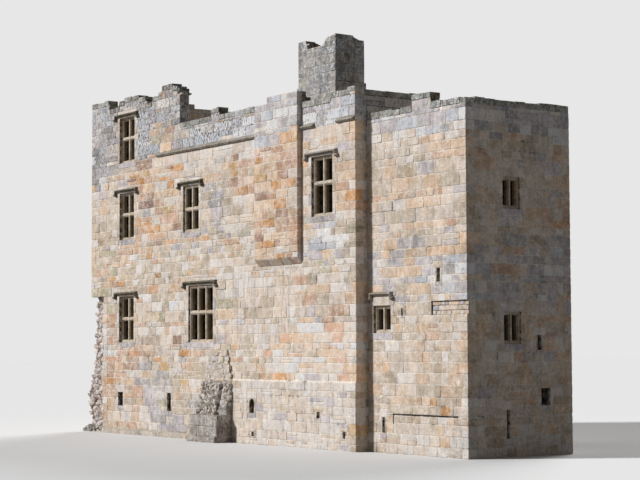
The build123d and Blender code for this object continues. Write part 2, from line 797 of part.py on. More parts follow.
# Wing walls: the front and back run full length, the side stands between them.
with BuildPart() as wing_front_wall_lower:
    slab(wing_front, 0, WING_LENGTH, 0, SECOND_FLOOR, WING_WALL)
    cut_window(wing_front, WING_FRONT_WINDOW, WING_WALL)
    for slit in WING_FRONT_SLITS:
        cut_slit(wing_front, slit, WING_WALL)
    cut_hole(wing_front, WING_FRONT_HOLE, PUTLOG_DEPTH)
    tear_sill = FIRST_FLOOR + WING_TEAR_SILL
    with BuildSketch(wing_front) as wing_scars:
        span(WING_LENGTH - WING_TEAR_LENGTH, WING_LENGTH, tear_sill, tear_sill + WING_TEAR_HEIGHT)
    extrude(amount=-WING_TEAR_DEPTH, mode=Mode.SUBTRACT)
    with BuildSketch(wing_front) as groove:
        span(GROOVE_START, GROOVE_START + GROOVE_LENGTH, GROOVE_LEVEL, GROOVE_LEVEL + GROOVE_HEIGHT)
        span(GROOVE_START, GROOVE_START + GROOVE_HEIGHT, GROOVE_LEVEL - GROOVE_LEG, GROOVE_LEVEL)
    extrude(amount=-GROOVE_DEPTH, mode=Mode.SUBTRACT)

with BuildPart() as wing_front_wall_upper:
    slab(wing_front, 0, WING_LENGTH, SECOND_FLOOR, WING_WALK, WING_WALL)

with BuildPart() as wing_side_wall_lower:
    slab(wing_side, WING_WALL, WING_DEPTH - WING_WALL, 0, SECOND_FLOOR, WING_WALL)
    cut_window(wing_side, WING_SIDE_WINDOW, WING_WALL)
    for slit in WING_SIDE_SLITS:
        cut_slit(wing_side, slit, WING_WALL)
    cut_hole(wing_side, WING_SIDE_HOLE, PUTLOG_DEPTH)

with BuildPart() as wing_side_wall_upper:
    slab(wing_side, WING_WALL, WING_DEPTH - WING_WALL, SECOND_FLOOR, WING_WALK, WING_WALL)
    cut_window(wing_side, WING_UPPER_WINDOW, WING_WALL)

with BuildPart() as wing_back_wall_lower:
    slab(wing_back, 0, WING_LENGTH, 0, SECOND_FLOOR, WING_WALL)
    for slit in WING_BACK_SLITS:
        cut_slit(wing_back, slit, WING_WALL)

with BuildPart() as wing_back_wall_upper:
    slab(wing_back, 0, WING_LENGTH, SECOND_FLOOR, WING_WALK, WING_WALL)
    cut_slit(wing_back, WING_BACK_UPPER_SLIT, WING_WALL)

with BuildPart() as wing_parapet:
    wing_top = WING_WALK + WING_PARAPET_RISE
    slab(wing_front, 0, WING_LENGTH, WING_WALK, wing_top, WING_PARAPET)
    slab(
        wing_front,
        WING_CREST_START,
        WING_CREST_START + WING_CREST_LENGTH,
        WING_WALK,
        WING_WALK + WING_CREST_RISE,
        WING_PARAPET,
    )
    slab(wing_side, WING_PARAPET, WING_DEPTH - WING_PARAPET, WING_WALK, wing_top, WING_PARAPET)
    slab(wing_back, 0, WING_LENGTH, WING_WALK, wing_top, WING_PARAPET)

# Floors inside the main block and the wing: boards from wall to wall on joists
# that run from front to back. Over them lie the decks of the two roofs.
Room = namedtuple("Room", "start_x start_y length depth")
HALL = Room(
    corner_x + MAIN_WALL, corner_y + MAIN_WALL, MAIN_LENGTH - 2 * MAIN_WALL, MAIN_DEPTH - 2 * MAIN_WALL
)
TOWER_ROOM = Room(HALL.start_x, HALL.start_y, TOWER_CROSS_START - MAIN_WALL, HALL.depth)
CLOSET = Room(right_x, wing_y + WING_WALL, WING_LENGTH - WING_WALL, WING_DEPTH - 2 * WING_WALL)


def floor_slab(room, top, thickness):
    """A level sheet that fills the room from wall to wall."""
    with Locations((room.start_x, room.start_y, top)):
        Box(room.length, room.depth, thickness, align=(Align.MIN, Align.MIN, Align.MAX))


def floor_joists(room, top):
    """Evenly spaced joists, clear of the end walls."""
    count = int(room.length // JOIST_GAP)
    pitch = room.length / (count + 1)
    for joist in range(count):
        with Locations((room.start_x + (joist + 1) * pitch, room.start_y, top)):
            Box(JOIST_WIDTH, room.depth, JOIST_DEPTH, align=(Align.CENTER, Align.MIN, Align.MAX))


with BuildPart() as first_floor_boards:
    floor_slab(HALL, FIRST_FLOOR, BOARD_THICK)
    floor_slab(CLOSET, FIRST_FLOOR, BOARD_THICK)

with BuildPart() as first_floor_joists:
    floor_joists(HALL, FIRST_FLOOR - BOARD_THICK)
    floor_joists(CLOSET, FIRST_FLOOR - BOARD_THICK)

with BuildPart() as second_floor_boards:
    floor_slab(HALL, SECOND_FLOOR, BOARD_THICK)
    floor_slab(CLOSET, SECOND_FLOOR, BOARD_THICK)

with BuildPart() as second_floor_joists:
    floor_joists(HALL, SECOND_FLOOR - BOARD_THICK)
    floor_joists(CLOSET, SECOND_FLOOR - BOARD_THICK)

with BuildPart() as roof_deck:
    floor_slab(HALL, WALL_WALK, DECK)
    floor_slab(CLOSET, WING_WALK, DECK)
    floor_slab(TOWER_ROOM, WALL_WALK + TOWER_BACKING_RISE, TOWER_ROOF)

# Window frames of dressed stone, set in their beds behind the wall face.
with BuildPart() as tower_window_frames:
    frame_solid(front, TOWER_WINDOW)
    frame_solid(back, BACK_TOWER_WINDOW)

with BuildPart() as second_storey_window_frames:
    for window in SECOND_WINDOWS:
        frame_solid(front, window)

with BuildPart() as first_storey_window_frames:
    for window in FIRST_WINDOWS:
        frame_solid(front, window)

with BuildPart() as back_first_window_frames:
    for window in BACK_FIRST_WINDOWS:
        frame_solid(back, window)

with BuildPart() as back_second_window_frames:
    for window in BACK_SECOND_WINDOWS:
        frame_solid(back, window)

with BuildPart() as left_window_frames:
    frame_solid(left, LEFT_FIRST_WINDOW)
    frame_solid(left, LEFT_SECOND_WINDOW)

with BuildPart() as wing_window_frames:
    frame_solid(wing_front, WING_FRONT_WINDOW)
    frame_solid(wing_side, WING_SIDE_WINDOW)
    frame_solid(wing_side, WING_UPPER_WINDOW)

# Hood moulds, bedded on the wall face over the windows.
with BuildPart() as front_hood_moulds:
    for window in FIRST_WINDOWS + SECOND_WINDOWS + [TOWER_WINDOW]:
        hood_solid(front, window)
    hood_solid(wing_front, WING_FRONT_WINDOW, WING_HOOD_GAP, WING_HOOD_OVERHANG)

with BuildPart() as rear_hood_moulds:
    for window in BACK_FIRST_WINDOWS + BACK_SECOND_WINDOWS + [BACK_TOWER_WINDOW]:
        hood_solid(back, window)
    hood_solid(left, LEFT_FIRST_WINDOW)
    hood_solid(left, LEFT_SECOND_WINDOW)

PIECES = {
    "front_wall_basement": front_wall_basement,
    "front_wall_first_storey": front_wall_first_storey,
    "front_wall_second_storey": front_wall_second_storey,
    "tower_front_wall": tower_front_wall,
    "tower_back_wall": tower_back_wall,
    "tower_left_wall": tower_left_wall,
    "tower_right_wall": tower_right_wall,
    "front_parapet": front_parapet,
    "rear_parapet": rear_parapet,
    "chimney_breast": chimney_breast,
    "chimney_stack": chimney_stack,
    "string_course": string_course,
    "front_plinth": front_plinth,
    "pier_stump": pier_stump,
    "pier_rubble": pier_rubble,
    "torn_corner": torn_corner,
    "torn_footing": torn_footing,
    "left_wall_lower": left_wall_lower,
    "left_wall_upper": left_wall_upper,
    "back_wall_basement": back_wall_basement,
    "back_wall_first_storey": back_wall_first_storey,
    "back_wall_second_storey": back_wall_second_storey,
    "right_wall_lower": right_wall_lower,
    "right_wall_upper": right_wall_upper,
    "wing_front_wall_lower": wing_front_wall_lower,
    "wing_front_wall_upper": wing_front_wall_upper,
    "wing_side_wall_lower": wing_side_wall_lower,
    "wing_side_wall_upper": wing_side_wall_upper,
    "wing_back_wall_lower": wing_back_wall_lower,
    "wing_back_wall_upper": wing_back_wall_upper,
    "wing_parapet": wing_parapet,
    "first_floor_boards": first_floor_boards,
    "first_floor_joists": first_floor_joists,
    "second_floor_boards": second_floor_boards,
    "second_floor_joists": second_floor_joists,
    "roof_deck": roof_deck,
    "tower_window_frames": tower_window_frames,
    "second_storey_window_frames": second_storey_window_frames,
    "first_storey_window_frames": first_storey_window_frames,
    "back_first_window_frames": back_first_window_frames,
    "back_second_window_frames": back_second_window_frames,
    "left_window_frames": left_window_frames,
    "wing_window_frames": wing_window_frames,
    "front_hood_moulds": front_hood_moulds,
    "rear_hood_moulds": rear_hood_moulds,
}

for name, piece in PIECES.items():
    piece.part.label = name
    export_step(piece.part, f"parts/{name}.step")
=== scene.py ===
import math
import random
from collections import namedtuple
from itertools import pairwise, product

import bpy
from mathutils import Matrix, Vector


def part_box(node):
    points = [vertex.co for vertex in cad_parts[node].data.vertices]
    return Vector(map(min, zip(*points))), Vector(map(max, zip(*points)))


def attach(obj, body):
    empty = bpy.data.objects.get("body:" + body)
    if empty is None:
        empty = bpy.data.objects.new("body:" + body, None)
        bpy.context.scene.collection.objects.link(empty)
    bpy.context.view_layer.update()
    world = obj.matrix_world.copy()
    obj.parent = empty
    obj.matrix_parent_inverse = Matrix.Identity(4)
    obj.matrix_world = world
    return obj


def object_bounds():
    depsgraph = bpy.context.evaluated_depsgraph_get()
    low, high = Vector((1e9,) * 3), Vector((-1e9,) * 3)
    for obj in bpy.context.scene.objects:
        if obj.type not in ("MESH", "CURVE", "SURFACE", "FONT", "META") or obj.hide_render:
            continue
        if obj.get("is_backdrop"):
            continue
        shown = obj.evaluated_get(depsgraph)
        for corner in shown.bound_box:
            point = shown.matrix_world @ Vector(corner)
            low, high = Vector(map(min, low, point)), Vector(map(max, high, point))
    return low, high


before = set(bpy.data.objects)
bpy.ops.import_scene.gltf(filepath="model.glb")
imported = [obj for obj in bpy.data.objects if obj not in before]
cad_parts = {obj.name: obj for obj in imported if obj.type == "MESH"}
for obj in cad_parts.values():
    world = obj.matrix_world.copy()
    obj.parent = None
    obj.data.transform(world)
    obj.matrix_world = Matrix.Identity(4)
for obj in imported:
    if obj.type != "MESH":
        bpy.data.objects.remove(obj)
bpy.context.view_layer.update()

# A ruined castle keep of squared sandstone: a long main block with a raised tower at
# its left end and a lower wing at its right end. Every size is in metres, in the
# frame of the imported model. The walls' own faces show only in the joints.
block_low, block_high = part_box("front_wall_second_storey")
LEFT_X, RIGHT_X, FRONT_Y = block_low.x, block_high.x, block_low.y

# Camera: it stands low on the right, as far off as in the photograph. Its place and
# turn were worked out from the lines of the walls.
CAMERA_FROM_CORNER = Vector((42.498, -31.466, 3.192))
CAMERA_RIGHT = Vector((0.57769, 0.81625, -0.00402))
CAMERA_DOWN = Vector((-0.05497, 0.03399, -0.99791))
LENS, SENSOR_WIDTH = 95.21, 36
FARTHEST_SEEN = 1000


def in_scene(name, data):
    """A new object of the scene."""
    made = bpy.data.objects.new(name, data)
    bpy.context.scene.collection.objects.link(made)
    return made


camera_data = bpy.data.cameras.new("front_camera")
camera_data.lens, camera_data.sensor_width = LENS, SENSOR_WIDTH
camera_data.clip_end = FARTHEST_SEEN
camera = in_scene("front_camera", camera_data)
camera_place = Matrix.Translation(Vector((RIGHT_X, FRONT_Y, 0)) + CAMERA_FROM_CORNER)
turn = Matrix((CAMERA_RIGHT, -CAMERA_DOWN, CAMERA_DOWN.cross(CAMERA_RIGHT))).transposed()
camera.matrix_world = camera_place @ turn.to_4x4()
bpy.context.scene.camera = camera

# Studio: a plain pale floor, a soft sun from the front left that leaves the walls
# facing right in shade, a weaker one on the back and left, and an even pale sky.
# The floor looks pale, but throws less light back up at the walls.
FLOOR_HALF = 400
FLOOR_COLOUR = (0.66, 0.66, 0.66, 1)
FLOOR_THROW = (0.2, 0.2, 0.2, 1)
SKY_COLOUR, SKY_STRENGTH = (1, 1, 1, 1), 0.12
BACKDROP_COLOUR, BACKDROP_STRENGTH = (0.8, 0.8, 0.8, 1), 1.0
SUNS = {
    "sun_front": (Vector((-0.44, -0.75, 0.58)), 3.85, 6),
    "sun_rear": (Vector((-0.45, 0.8, 0.6)), 2.3, 30),
}


def feed(entry, value):
    """A node's input takes a value, or another node's output."""
    if isinstance(value, bpy.types.NodeSocket):
        entry.id_data.links.new(value, entry)
    else:
        entry.default_value = value


def add_node(tree, kind, settings=None, **inputs):
    """A node with its settings and its inputs, by name."""
    made = tree.nodes.new(kind)
    for name, value in (settings or {}).items():
        setattr(made, name, value)
    for name, value in inputs.items():
        feed(made.inputs[name.replace("_", " ")], value)
    return made


def result_of(kind, settings, places, values, output=0):
    """The result of one node, in the tree of the outputs among its values."""
    tree = next(value.id_data for value in values if isinstance(value, bpy.types.NodeSocket))
    made = add_node(tree, kind, settings)
    for place, value in zip(places, values):
        feed(made.inputs[place], value)
    return made.outputs[output]


def sums(operation, *values, clamp=False):
    """The result of one Math node."""
    return result_of("ShaderNodeMath", {"operation": operation, "use_clamp": clamp}, range(3), values)


def blended(mode, amount, under, over):
    """One colour laid over another in a blend mode."""
    settings = {"data_type": "RGBA", "blend_type": mode}
    return result_of("ShaderNodeMix", settings, (0, 6, 7), (amount, under, over), 2)


floor_finish = bpy.data.materials.new("floor")
floor_finish.use_nodes = True
floor_tree = floor_finish.node_tree
floor_seen = add_node(floor_tree, "ShaderNodeLightPath").outputs["Is Camera Ray"]
floor_shader = floor_tree.nodes["Principled BSDF"].inputs
floor_shader["Roughness"].default_value = 0.9
floor_shader["Specular IOR Level"].default_value = 0.0
feed(floor_shader["Base Color"], blended("MIX", floor_seen, FLOOR_THROW, FLOOR_COLOUR))
floor_corners = [(x * FLOOR_HALF, y * FLOOR_HALF, 0) for x, y in ((-1, -1), (1, -1), (1, 1), (-1, 1))]
floor_mesh = bpy.data.meshes.new("floor")
floor_mesh.from_pydata(floor_corners, [], [(0, 1, 2, 3)])
floor_mesh.materials.append(floor_finish)
floor = in_scene("floor", floor_mesh)
floor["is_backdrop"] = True
for name, (towards, strength, softness) in SUNS.items():
    sun_data = bpy.data.lights.new(name, "SUN")
    sun_data.energy, sun_data.angle = strength, math.radians(softness)
    in_scene(name, sun_data).rotation_euler = towards.to_track_quat("Z", "Y").to_euler()
sky = bpy.data.worlds.new("studio_sky")
sky.use_nodes = True
sky.node_tree.nodes.clear()
ray = add_node(sky.node_tree, "ShaderNodeLightPath").outputs
seen = sums("MAXIMUM", ray["Is Camera Ray"], ray["Is Glossy Ray"])
skylight, backdrop = (
    add_node(sky.node_tree, "ShaderNodeBackground", Color=colour, Strength=strength).outputs[0]
    for colour, strength in ((SKY_COLOUR, SKY_STRENGTH), (BACKDROP_COLOUR, BACKDROP_STRENGTH))
)
mixed = result_of("ShaderNodeMixShader", {}, range(3), (seen, skylight, backdrop))
add_node(sky.node_tree, "ShaderNodeOutputWorld", Surface=mixed)
bpy.context.scene.world = sky
bpy.context.scene.view_settings.view_transform = "Standard"

# Finish of all the stone: sandstone whose colour drifts within each block, with fine
# grain, small pits, black crust and pale lichen, and streaks where water runs down.
# Painted shade darkens the pits and the open joints.


def paint(red, green, blue):
    """A colour as it looks on a screen, 0 to 255, as the shader wants it."""
    return tuple(((c / 255 + 0.055) / 1.055) ** 2.4 for c in (red, green, blue))


CRUST_COLOUR, MOSS_COLOUR = (*paint(60, 60, 60), 1), (*paint(92, 92, 78), 1)
FILM_COLOUR, SMEAR_COLOUR = (*paint(224, 215, 208), 1), (*paint(230, 221, 210), 1)
OPEN_JOINT_SHADE, LICHEN_COLOUR = (*paint(158, 144, 128), 1), (*paint(213, 218, 226), 1)
IRON_STAIN, SOOT_STAIN = (1.0, 0.87, 0.7, 1), (0.84, 0.84, 0.85, 1)
PIT_SHADE, RUN_STAIN = (0.56, 0.5, 0.45, 1), (0.66, 0.66, 0.68, 1)
BUMP_DEPTH = 0.022
STONE_GLOSS = 0.25


def outside(tree, direction, **kinds):
    """Named sockets on the outside of a node group."""
    for name, kind in kinds.items():
        tree.interface.new_socket(name, in_out=direction, socket_type="NodeSocket" + kind)


def scaled(value, factor, shift=0.0):
    """A value times a factor, plus a shift."""
    return sums("MULTIPLY_ADD", value, factor, shift)


def weighed(*shares):
    """Patterns added up, each by its share."""
    total, *others = (scaled(pattern, share) for pattern, share in shares)
    for other in others:
        total = sums("ADD", total, other)
    return total


def ramp_mask(value, low, high):
    """0 below low, 1 above high and smooth between."""
    names = ("Value", "From Min", "From Max")
    return result_of("ShaderNodeMapRange", {"interpolation_type": "SMOOTHSTEP"}, names, (value, low, high))


weathering_and_shade = bpy.data.node_groups.new("sandstone_weathering", "ShaderNodeTree")
outside(weathering_and_shade, "INPUT", Tone="Color", Lichen="Float", Crust="Float", Streaks="Float")
outside(weathering_and_shade, "INPUT", Relief="Float", Edge="Float", Film="Float")
outside(weathering_and_shade, "OUTPUT", Color="Color", Roughness="Float", Normal="Vector")
given = weathering_and_shade.nodes.new("NodeGroupInput").outputs
place = add_node(weathering_and_shade, "ShaderNodeTexCoord").outputs["Object"]


def cloud(scale, detail, roughness, distortion=0.0, at=place):
    """Noise over the stone at a scale per metre."""
    shape = {"Scale": scale, "Detail": detail, "Roughness": roughness, "Distortion": distortion}
    return add_node(weathering_and_shade, "ShaderNodeTexNoise", Vector=at, **shape).outputs[0]


def cells(scale):
    """Small round hollows strewn over the stone, deepest where the value is 0."""
    return add_node(weathering_and_shade, "ShaderNodeTexVoronoi", Vector=place, Scale=scale).outputs["Distance"]


def stretched(scale):
    """Places drawn out downwards, for what runs down the stone."""
    return add_node(weathering_and_shade, "ShaderNodeMapping", Vector=place, Scale=scale).outputs[0]


patches = cloud(0.9, 5.0, 0.62, 0.3)
drift = cloud(3.2, 7.0, 0.68, 0.3)
stain = cloud(1.7, 8.0, 0.7, 0.7)
blotch = cloud(9.0, 7.0, 0.72, 0.5)
specks = cloud(24.0, 5.0, 0.75, 0.3)
grain = cloud(85.0, 2.0, 0.7)
pocks, pecks = cells(15.0), cells(46.0)
streak = cloud(1.0, 5.0, 0.6, at=stretched((6.0, 6.0, 0.5)))
drips = cloud(1.0, 3.0, 0.55, 0.2, stretched((17.0, 17.0, 7.0)))
rim = sums("MINIMUM", given["Edge"], 1.0)
mottle = weighed((drift, 0.55), (blotch, 0.45))
film = sums("MULTIPLY", ramp_mask(mottle, 0.47, 0.56), given["Film"])
worn = blended("MIX", film, given["Tone"], FILM_COLOUR)
bare = scaled(given["Lichen"], -1.6, 1.0)
iron = sums("MULTIPLY", ramp_mask(stain, 0.51, 0.6), bare, clamp=True)
worn = blended("MULTIPLY", scaled(iron, 0.7), worn, IRON_STAIN)
soot = scaled(ramp_mask(patches, 0.48, 0.36), 0.36)
worn = blended("MULTIPLY", soot, worn, SOOT_STAIN)
flecks = sums("MULTIPLY", ramp_mask(blotch, 0.55, 0.63), ramp_mask(patches, 0.4, 0.55))
worn = blended("MIX", scaled(flecks, 0.4), worn, SMEAR_COLOUR)
smeared = sums("MULTIPLY", ramp_mask(specks, 0.4, 0.56), ramp_mask(patches, 0.42, 0.56))
smeared = sums("MULTIPLY", smeared, given["Edge"], clamp=True)
worn = blended("MIX", smeared, worn, blended("MIX", 0.5, worn, SMEAR_COLOUR))
# Painted shade: in patches the joints, and the stone arrises beside them, turn dark brown for the shade
# inside open joints.
open_joint_shade = ramp_mask(weighed((patches, 0.5), (drift, 0.5)), 0.44, 0.40)
open_joint_shade = sums("MULTIPLY", open_joint_shade, ramp_mask(given["Edge"], 0.72, 1.0))
worn = blended("MIX", open_joint_shade, worn, OPEN_JOINT_SHADE)
shading = weighed((drift, 0.34), (blotch, 0.34), (specks, 0.24), (grain, 0.08))
brightness = {"From_Min": 0.38, "From_Max": 0.62, "To_Min": 0.5, "To_Max": 1.38}
shading = add_node(weathering_and_shade, "ShaderNodeMapRange", Value=shading, **brightness).outputs[0]
colour = blended("MULTIPLY", 1.0, worn, shading)
holes = sums("MULTIPLY", ramp_mask(pocks, 0.26, 0.12), ramp_mask(drift, 0.5, 0.58))
pits = sums("MULTIPLY", ramp_mask(pecks, 0.36, 0.14), ramp_mask(blotch, 0.48, 0.58))
pits = sums("MAXIMUM", pits, holes)
# Painted shade: the pits and small holes are darkened as if shade lay in them; the same pits also sink the
# bump.
colour = blended("MULTIPLY", pits, colour, PIT_SHADE)
runs = sums("MULTIPLY", ramp_mask(streak, 0.46, 0.64), given["Streaks"], clamp=True)
colour = blended("MULTIPLY", runs, colour, RUN_STAIN)
pale_from = scaled(given["Lichen"], -0.3, 0.72)
pale = ramp_mask(blotch, pale_from, scaled(pale_from, 1.0, 0.07))
colour = blended("MIX", scaled(pale, 0.7), colour, LICHEN_COLOUR)
crusted = sums("MULTIPLY_ADD", rim, 0.035, weighed((drips, 0.72), (drift, 0.28)))
black_from = scaled(given["Crust"], -0.19, 0.695)
black = ramp_mask(crusted, black_from, scaled(black_from, 1.0, 0.035))
colour = blended("MIX", scaled(black, 0.82), colour, CRUST_COLOUR)
facing = add_node(weathering_and_shade, "ShaderNodeNewGeometry").outputs["Normal"]
upward = add_node(weathering_and_shade, "ShaderNodeSeparateXYZ", Vector=facing).outputs[2]
mossy = sums("MULTIPLY", ramp_mask(upward, 0.5, 0.9), scaled(given["Lichen"], 1.5))
mossy = sums("MULTIPLY", mossy, ramp_mask(drift, 0.36, 0.5), clamp=True)
colour = blended("MIX", scaled(mossy, 0.85), colour, MOSS_COLOUR)
height = weighed((grain, 0.25), (specks, 0.8), (blotch, 1.0), (drift, 0.7), (pits, -0.5))
height = sums("MULTIPLY", height, given["Relief"])
bump = add_node(weathering_and_shade, "ShaderNodeBump", Strength=1.0, Distance=BUMP_DEPTH, Height=height).outputs[0]
roughness = scaled(specks, 0.25, 0.76)
add_node(weathering_and_shade, "NodeGroupOutput", Color=colour, Roughness=roughness, Normal=bump)


def stone_material(name, tone, lichen=0.0, crust=0.0, streaks=0.0, relief=1.0, film=0.44, edge=0.0):
    """A sandstone finish. Where the tone is None, the stones bring their own tone, growths and edges."""
    made = bpy.data.materials.new(name)
    made.use_nodes = True
    tree = made.node_tree
    shader = tree.nodes["Principled BSDF"].inputs
    shader["Specular IOR Level"].default_value = STONE_GLOSS
    settings = {"node_tree": weathering_and_shade}
    finish = add_node(tree, "ShaderNodeGroup", settings, Relief=relief, Film=film, Edge=edge)
    growths = (lichen, crust, streaks)
    if tone is None:
        tones, growth, edges = (
            add_node(tree, "ShaderNodeAttribute", {"attribute_name": brought}).outputs
            for brought in ("tone", "growth", "edge")
        )
        growths = add_node(tree, "ShaderNodeSeparateXYZ", Vector=growth["Vector"]).outputs
        feed(finish.inputs["Tone"], tones["Vector"])
        feed(finish.inputs["Edge"], edges["Fac"])
    else:
        feed(finish.inputs["Tone"], (*tone, 1))
    for entry, value in zip(("Lichen", "Crust", "Streaks"), growths):
        feed(finish.inputs[entry], value)
    for output, entry in (("Color", "Base Color"), ("Roughness", "Roughness"), ("Normal", "Normal")):
        feed(shader[entry], finish.outputs[output])
    return made


wall_finish = stone_material("squared_sandstone", None)

# Squared blocks of sandstone: each stone of a wall is one bevelled block with a worn
# face and thin, flush, pale joints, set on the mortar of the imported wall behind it.
JOINT = 0.014
BEDDED = 0.03
THIN_STONE = 0.1
ARRIS = 0.0075
WOBBLE = 0.026
WORN_CORNER = 0.6
Stone = namedtuple("Stone", "start end low high front back tone growth")


def mark(mesh, name, values, kind="FLOAT_VECTOR", domain="POINT"):
    """Values for each point or face of a mesh, which the trees and the finish read."""
    attribute = mesh.attributes.new(name, kind, domain)
    attribute.data.foreach_set("vector" if kind == "FLOAT_VECTOR" else "value", values)


def flattened(many):
    """The parts of many tuples in one list."""
    return [part for each in many for part in each]


def make_block(name, rings):
    """One squared stone, 2 by 2 by 2, from rings that each have a depth, an inset, a drop and a wear."""
    outline = [(x / 2, -1) for x in range(-2, 2)] + [(1, -1), (1, 0)]
    outline += [(-x, -y) for x, y in outline]
    count = len(outline)
    points, drawn, wear, faces, rounded = [], [], [], [], []
    for depth, inset, drop, worn_by in rings:
        for x, y in outline:
            points.append((x, y, depth))
            inwards = inset + WORN_CORNER * (depth > 0 and abs(x) == 1 and abs(y) == 1)
            drawn.append((-inwards * (abs(x) == 1) * x, -inwards * (abs(y) == 1) * y, -drop))
            wear.append(worn_by)
    for ring, (depth, _, drop, _) in enumerate(rings[:-1]):
        low, high = ring * count, (ring + 1) * count
        for here in range(count):
            after = (here + 1) % count
            faces.append((low + here, low + after, high + after, high + here))
            rounded.append(depth > 0 and drop <= 1)
    middle = len(points)
    points += [(x, 0, 1) for x in (-0.5, 0.0, 0.5)]
    drawn += [(0, 0, 0)] * 3
    wear += [0.0] * 3
    last = middle - count
    rows = [
        [last, last + 1, last + 2, last + 3, last + 4],
        [last + 11, middle, middle + 1, middle + 2, last + 5],
        [last + 10, last + 9, last + 8, last + 7, last + 6],
    ]
    for under, over in pairwise(rows):
        for (a, b), (d, c) in zip(pairwise(under), pairwise(over)):
            faces.append((a, b, c, d))
            rounded.append(True)
    faces.append(tuple(reversed(range(count))))
    mesh = bpy.data.meshes.new(name)
    mesh.from_pydata(points, [], faces)
    mark(mesh, "drawn", flattened(drawn))
    mark(mesh, "edge", wear, "FLOAT")
    mark(mesh, "rounded", rounded + [False], "BOOLEAN", "FACE")
    return bpy.data.objects.new(name, mesh)


FACE_RING, ROUNDED_RING = (1, 3, 0, 0.0), (1, 1, 0, 0.7)
facing_block = make_block("facing_block", [(-1, 0, 0, 0.0), (1, 0, 1, 1.0), ROUNDED_RING, FACE_RING])
through_block = make_block(
    "through_block", [(-1, 0, 0, 0.0), (1, 0, 4, 0.0), (1, 0, 1, 0.7), ROUNDED_RING, FACE_RING]
)
laying = bpy.data.node_groups.new("laid_stones", "GeometryNodeTree")
outside(laying, "INPUT", Stones="Geometry", Block="Object", Wobble="Float", Finish="Material")
outside(laying, "OUTPUT", Wall="Geometry")
given = laying.nodes.new("NodeGroupInput").outputs


def read(name, kind):
    """A named attribute of the stones."""
    return add_node(laying, "GeometryNodeInputNamedAttribute", {"data_type": kind}, Name=name).outputs[0]


def vectors(operation, first, second):
    """The result of one Vector Math node."""
    places = (0, "Scale" if operation == "SCALE" else 1)
    return result_of("ShaderNodeVectorMath", {"operation": operation}, places, (first, second))


def moved(stones, **where):
    """Stones with their points moved."""
    return add_node(stones.id_data, "GeometryNodeSetPosition", Geometry=stones, **where).outputs[0]


def roughened(stones, scale, amount, **each):
    """Stones with their points moved about by noise, in its own way on each stone where W is given."""
    tree = stones.id_data
    settings = {"noise_dimensions": "4D"} if each else {}
    spot = add_node(tree, "GeometryNodeInputPosition").outputs[0]
    noise = add_node(tree, "ShaderNodeTexNoise", settings, Vector=spot, Scale=scale, Detail=2.0, **each)
    shifts = vectors("SUBTRACT", noise.outputs["Color"], (0.5, 0.5, 0.5))
    return moved(stones, Offset=vectors("SCALE", shifts, amount))


def set_and_finish(stones, block, turns, sizes, shaped, smooth, finish, output):
    """Blocks set on points, made real, shaped and given their finish, which ends a tree."""
    tree = stones.id_data
    shape = add_node(tree, "GeometryNodeObjectInfo", Object=block).outputs["Geometry"]
    placed = {"Points": stones, "Instance": shape, "Rotation": turns, "Scale": sizes}
    laid = add_node(tree, "GeometryNodeInstanceOnPoints", **placed).outputs[0]
    laid = shaped(add_node(tree, "GeometryNodeRealizeInstances", Geometry=laid).outputs[0])
    laid = add_node(tree, "GeometryNodeSetShadeSmooth", Geometry=laid, Shade_Smooth=smooth).outputs[0]
    laid = add_node(tree, "GeometryNodeSetMaterial", Geometry=laid, Material=finish).outputs[0]
    add_node(tree, "NodeGroupOutput", **{output: laid})


def worn_blocks(stones):
    """Blocks with bevelled arrises and uneven faces."""
    drawn_in = vectors("SCALE", read("drawn", "FLOAT_VECTOR"), read("arris", "FLOAT"))
    return roughened(moved(stones, Offset=drawn_in), 5.0, given["Wobble"], W=read("stone", "FLOAT"))


set_and_finish(
    given["Stones"], given["Block"], read("turn", "FLOAT_VECTOR"), read("half", "FLOAT_VECTOR"),
    worn_blocks, read("rounded", "BOOLEAN"), given["Finish"], "Wall",
)


def set_piece(piece):
    """A finished piece joins the object."""
    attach(piece, "root")


def shaped_by(tree, mesh, name, values):
    """The plain mesh that a geometry tree makes from a mesh and named values."""
    piece = in_scene(name, mesh)
    modifier = piece.modifiers.new(name, "NODES")
    modifier.node_group = tree
    for item in tree.interface.items_tree:
        if item.in_out == "INPUT" and item.name in values:
            modifier[item.identifier] = values[item.name]
    bpy.context.view_layer.update()
    result = bpy.data.meshes.new_from_object(piece.evaluated_get(bpy.context.evaluated_depsgraph_get()))
    piece.modifiers.clear()
    piece.data = result
    return piece


def lay_stones(
    name, stones, place, wobble=WOBBLE, block=facing_block, tilt=0.012, seed=1,
    finish=wall_finish,
):
    """Turns a list of stones into one piece of the wall."""
    dice = random.Random(seed)
    middles, half, small, turns = [], [], [], []
    for s in stones:
        wide, tall, deep = s.end - s.start, s.high - s.low, s.front - s.back
        middles.append(((s.start + s.end) / 2, (s.low + s.high) / 2, (s.front + s.back) / 2))
        half += [wide / 2, tall / 2, deep / 2]
        small.append(min(ARRIS * dice.uniform(0.6, 1.3), wide / 9, tall / 9))
        lean = tilt if deep < THIN_STONE else 0.0
        turns += [dice.uniform(-lean, lean), dice.uniform(-lean, lean) / 2]
        turns.append(dice.gauss(0, lean) * 0.3 / wide)
    mesh = bpy.data.meshes.new(name)
    mesh.from_pydata(middles, [], [])
    mark(mesh, "half", half)
    mark(mesh, "turn", turns)
    mark(mesh, "tone", flattened(s.tone for s in stones))
    mark(mesh, "growth", flattened(s.growth for s in stones))
    mark(mesh, "arris", small, "FLOAT")
    mark(mesh, "stone", [i * 1.7 for i in range(len(stones))], "FLOAT")
    piece = shaped_by(laying, mesh, name, {"Block": block, "Wobble": wobble, "Finish": finish})
    piece.data.transform(place)
    set_piece(piece)


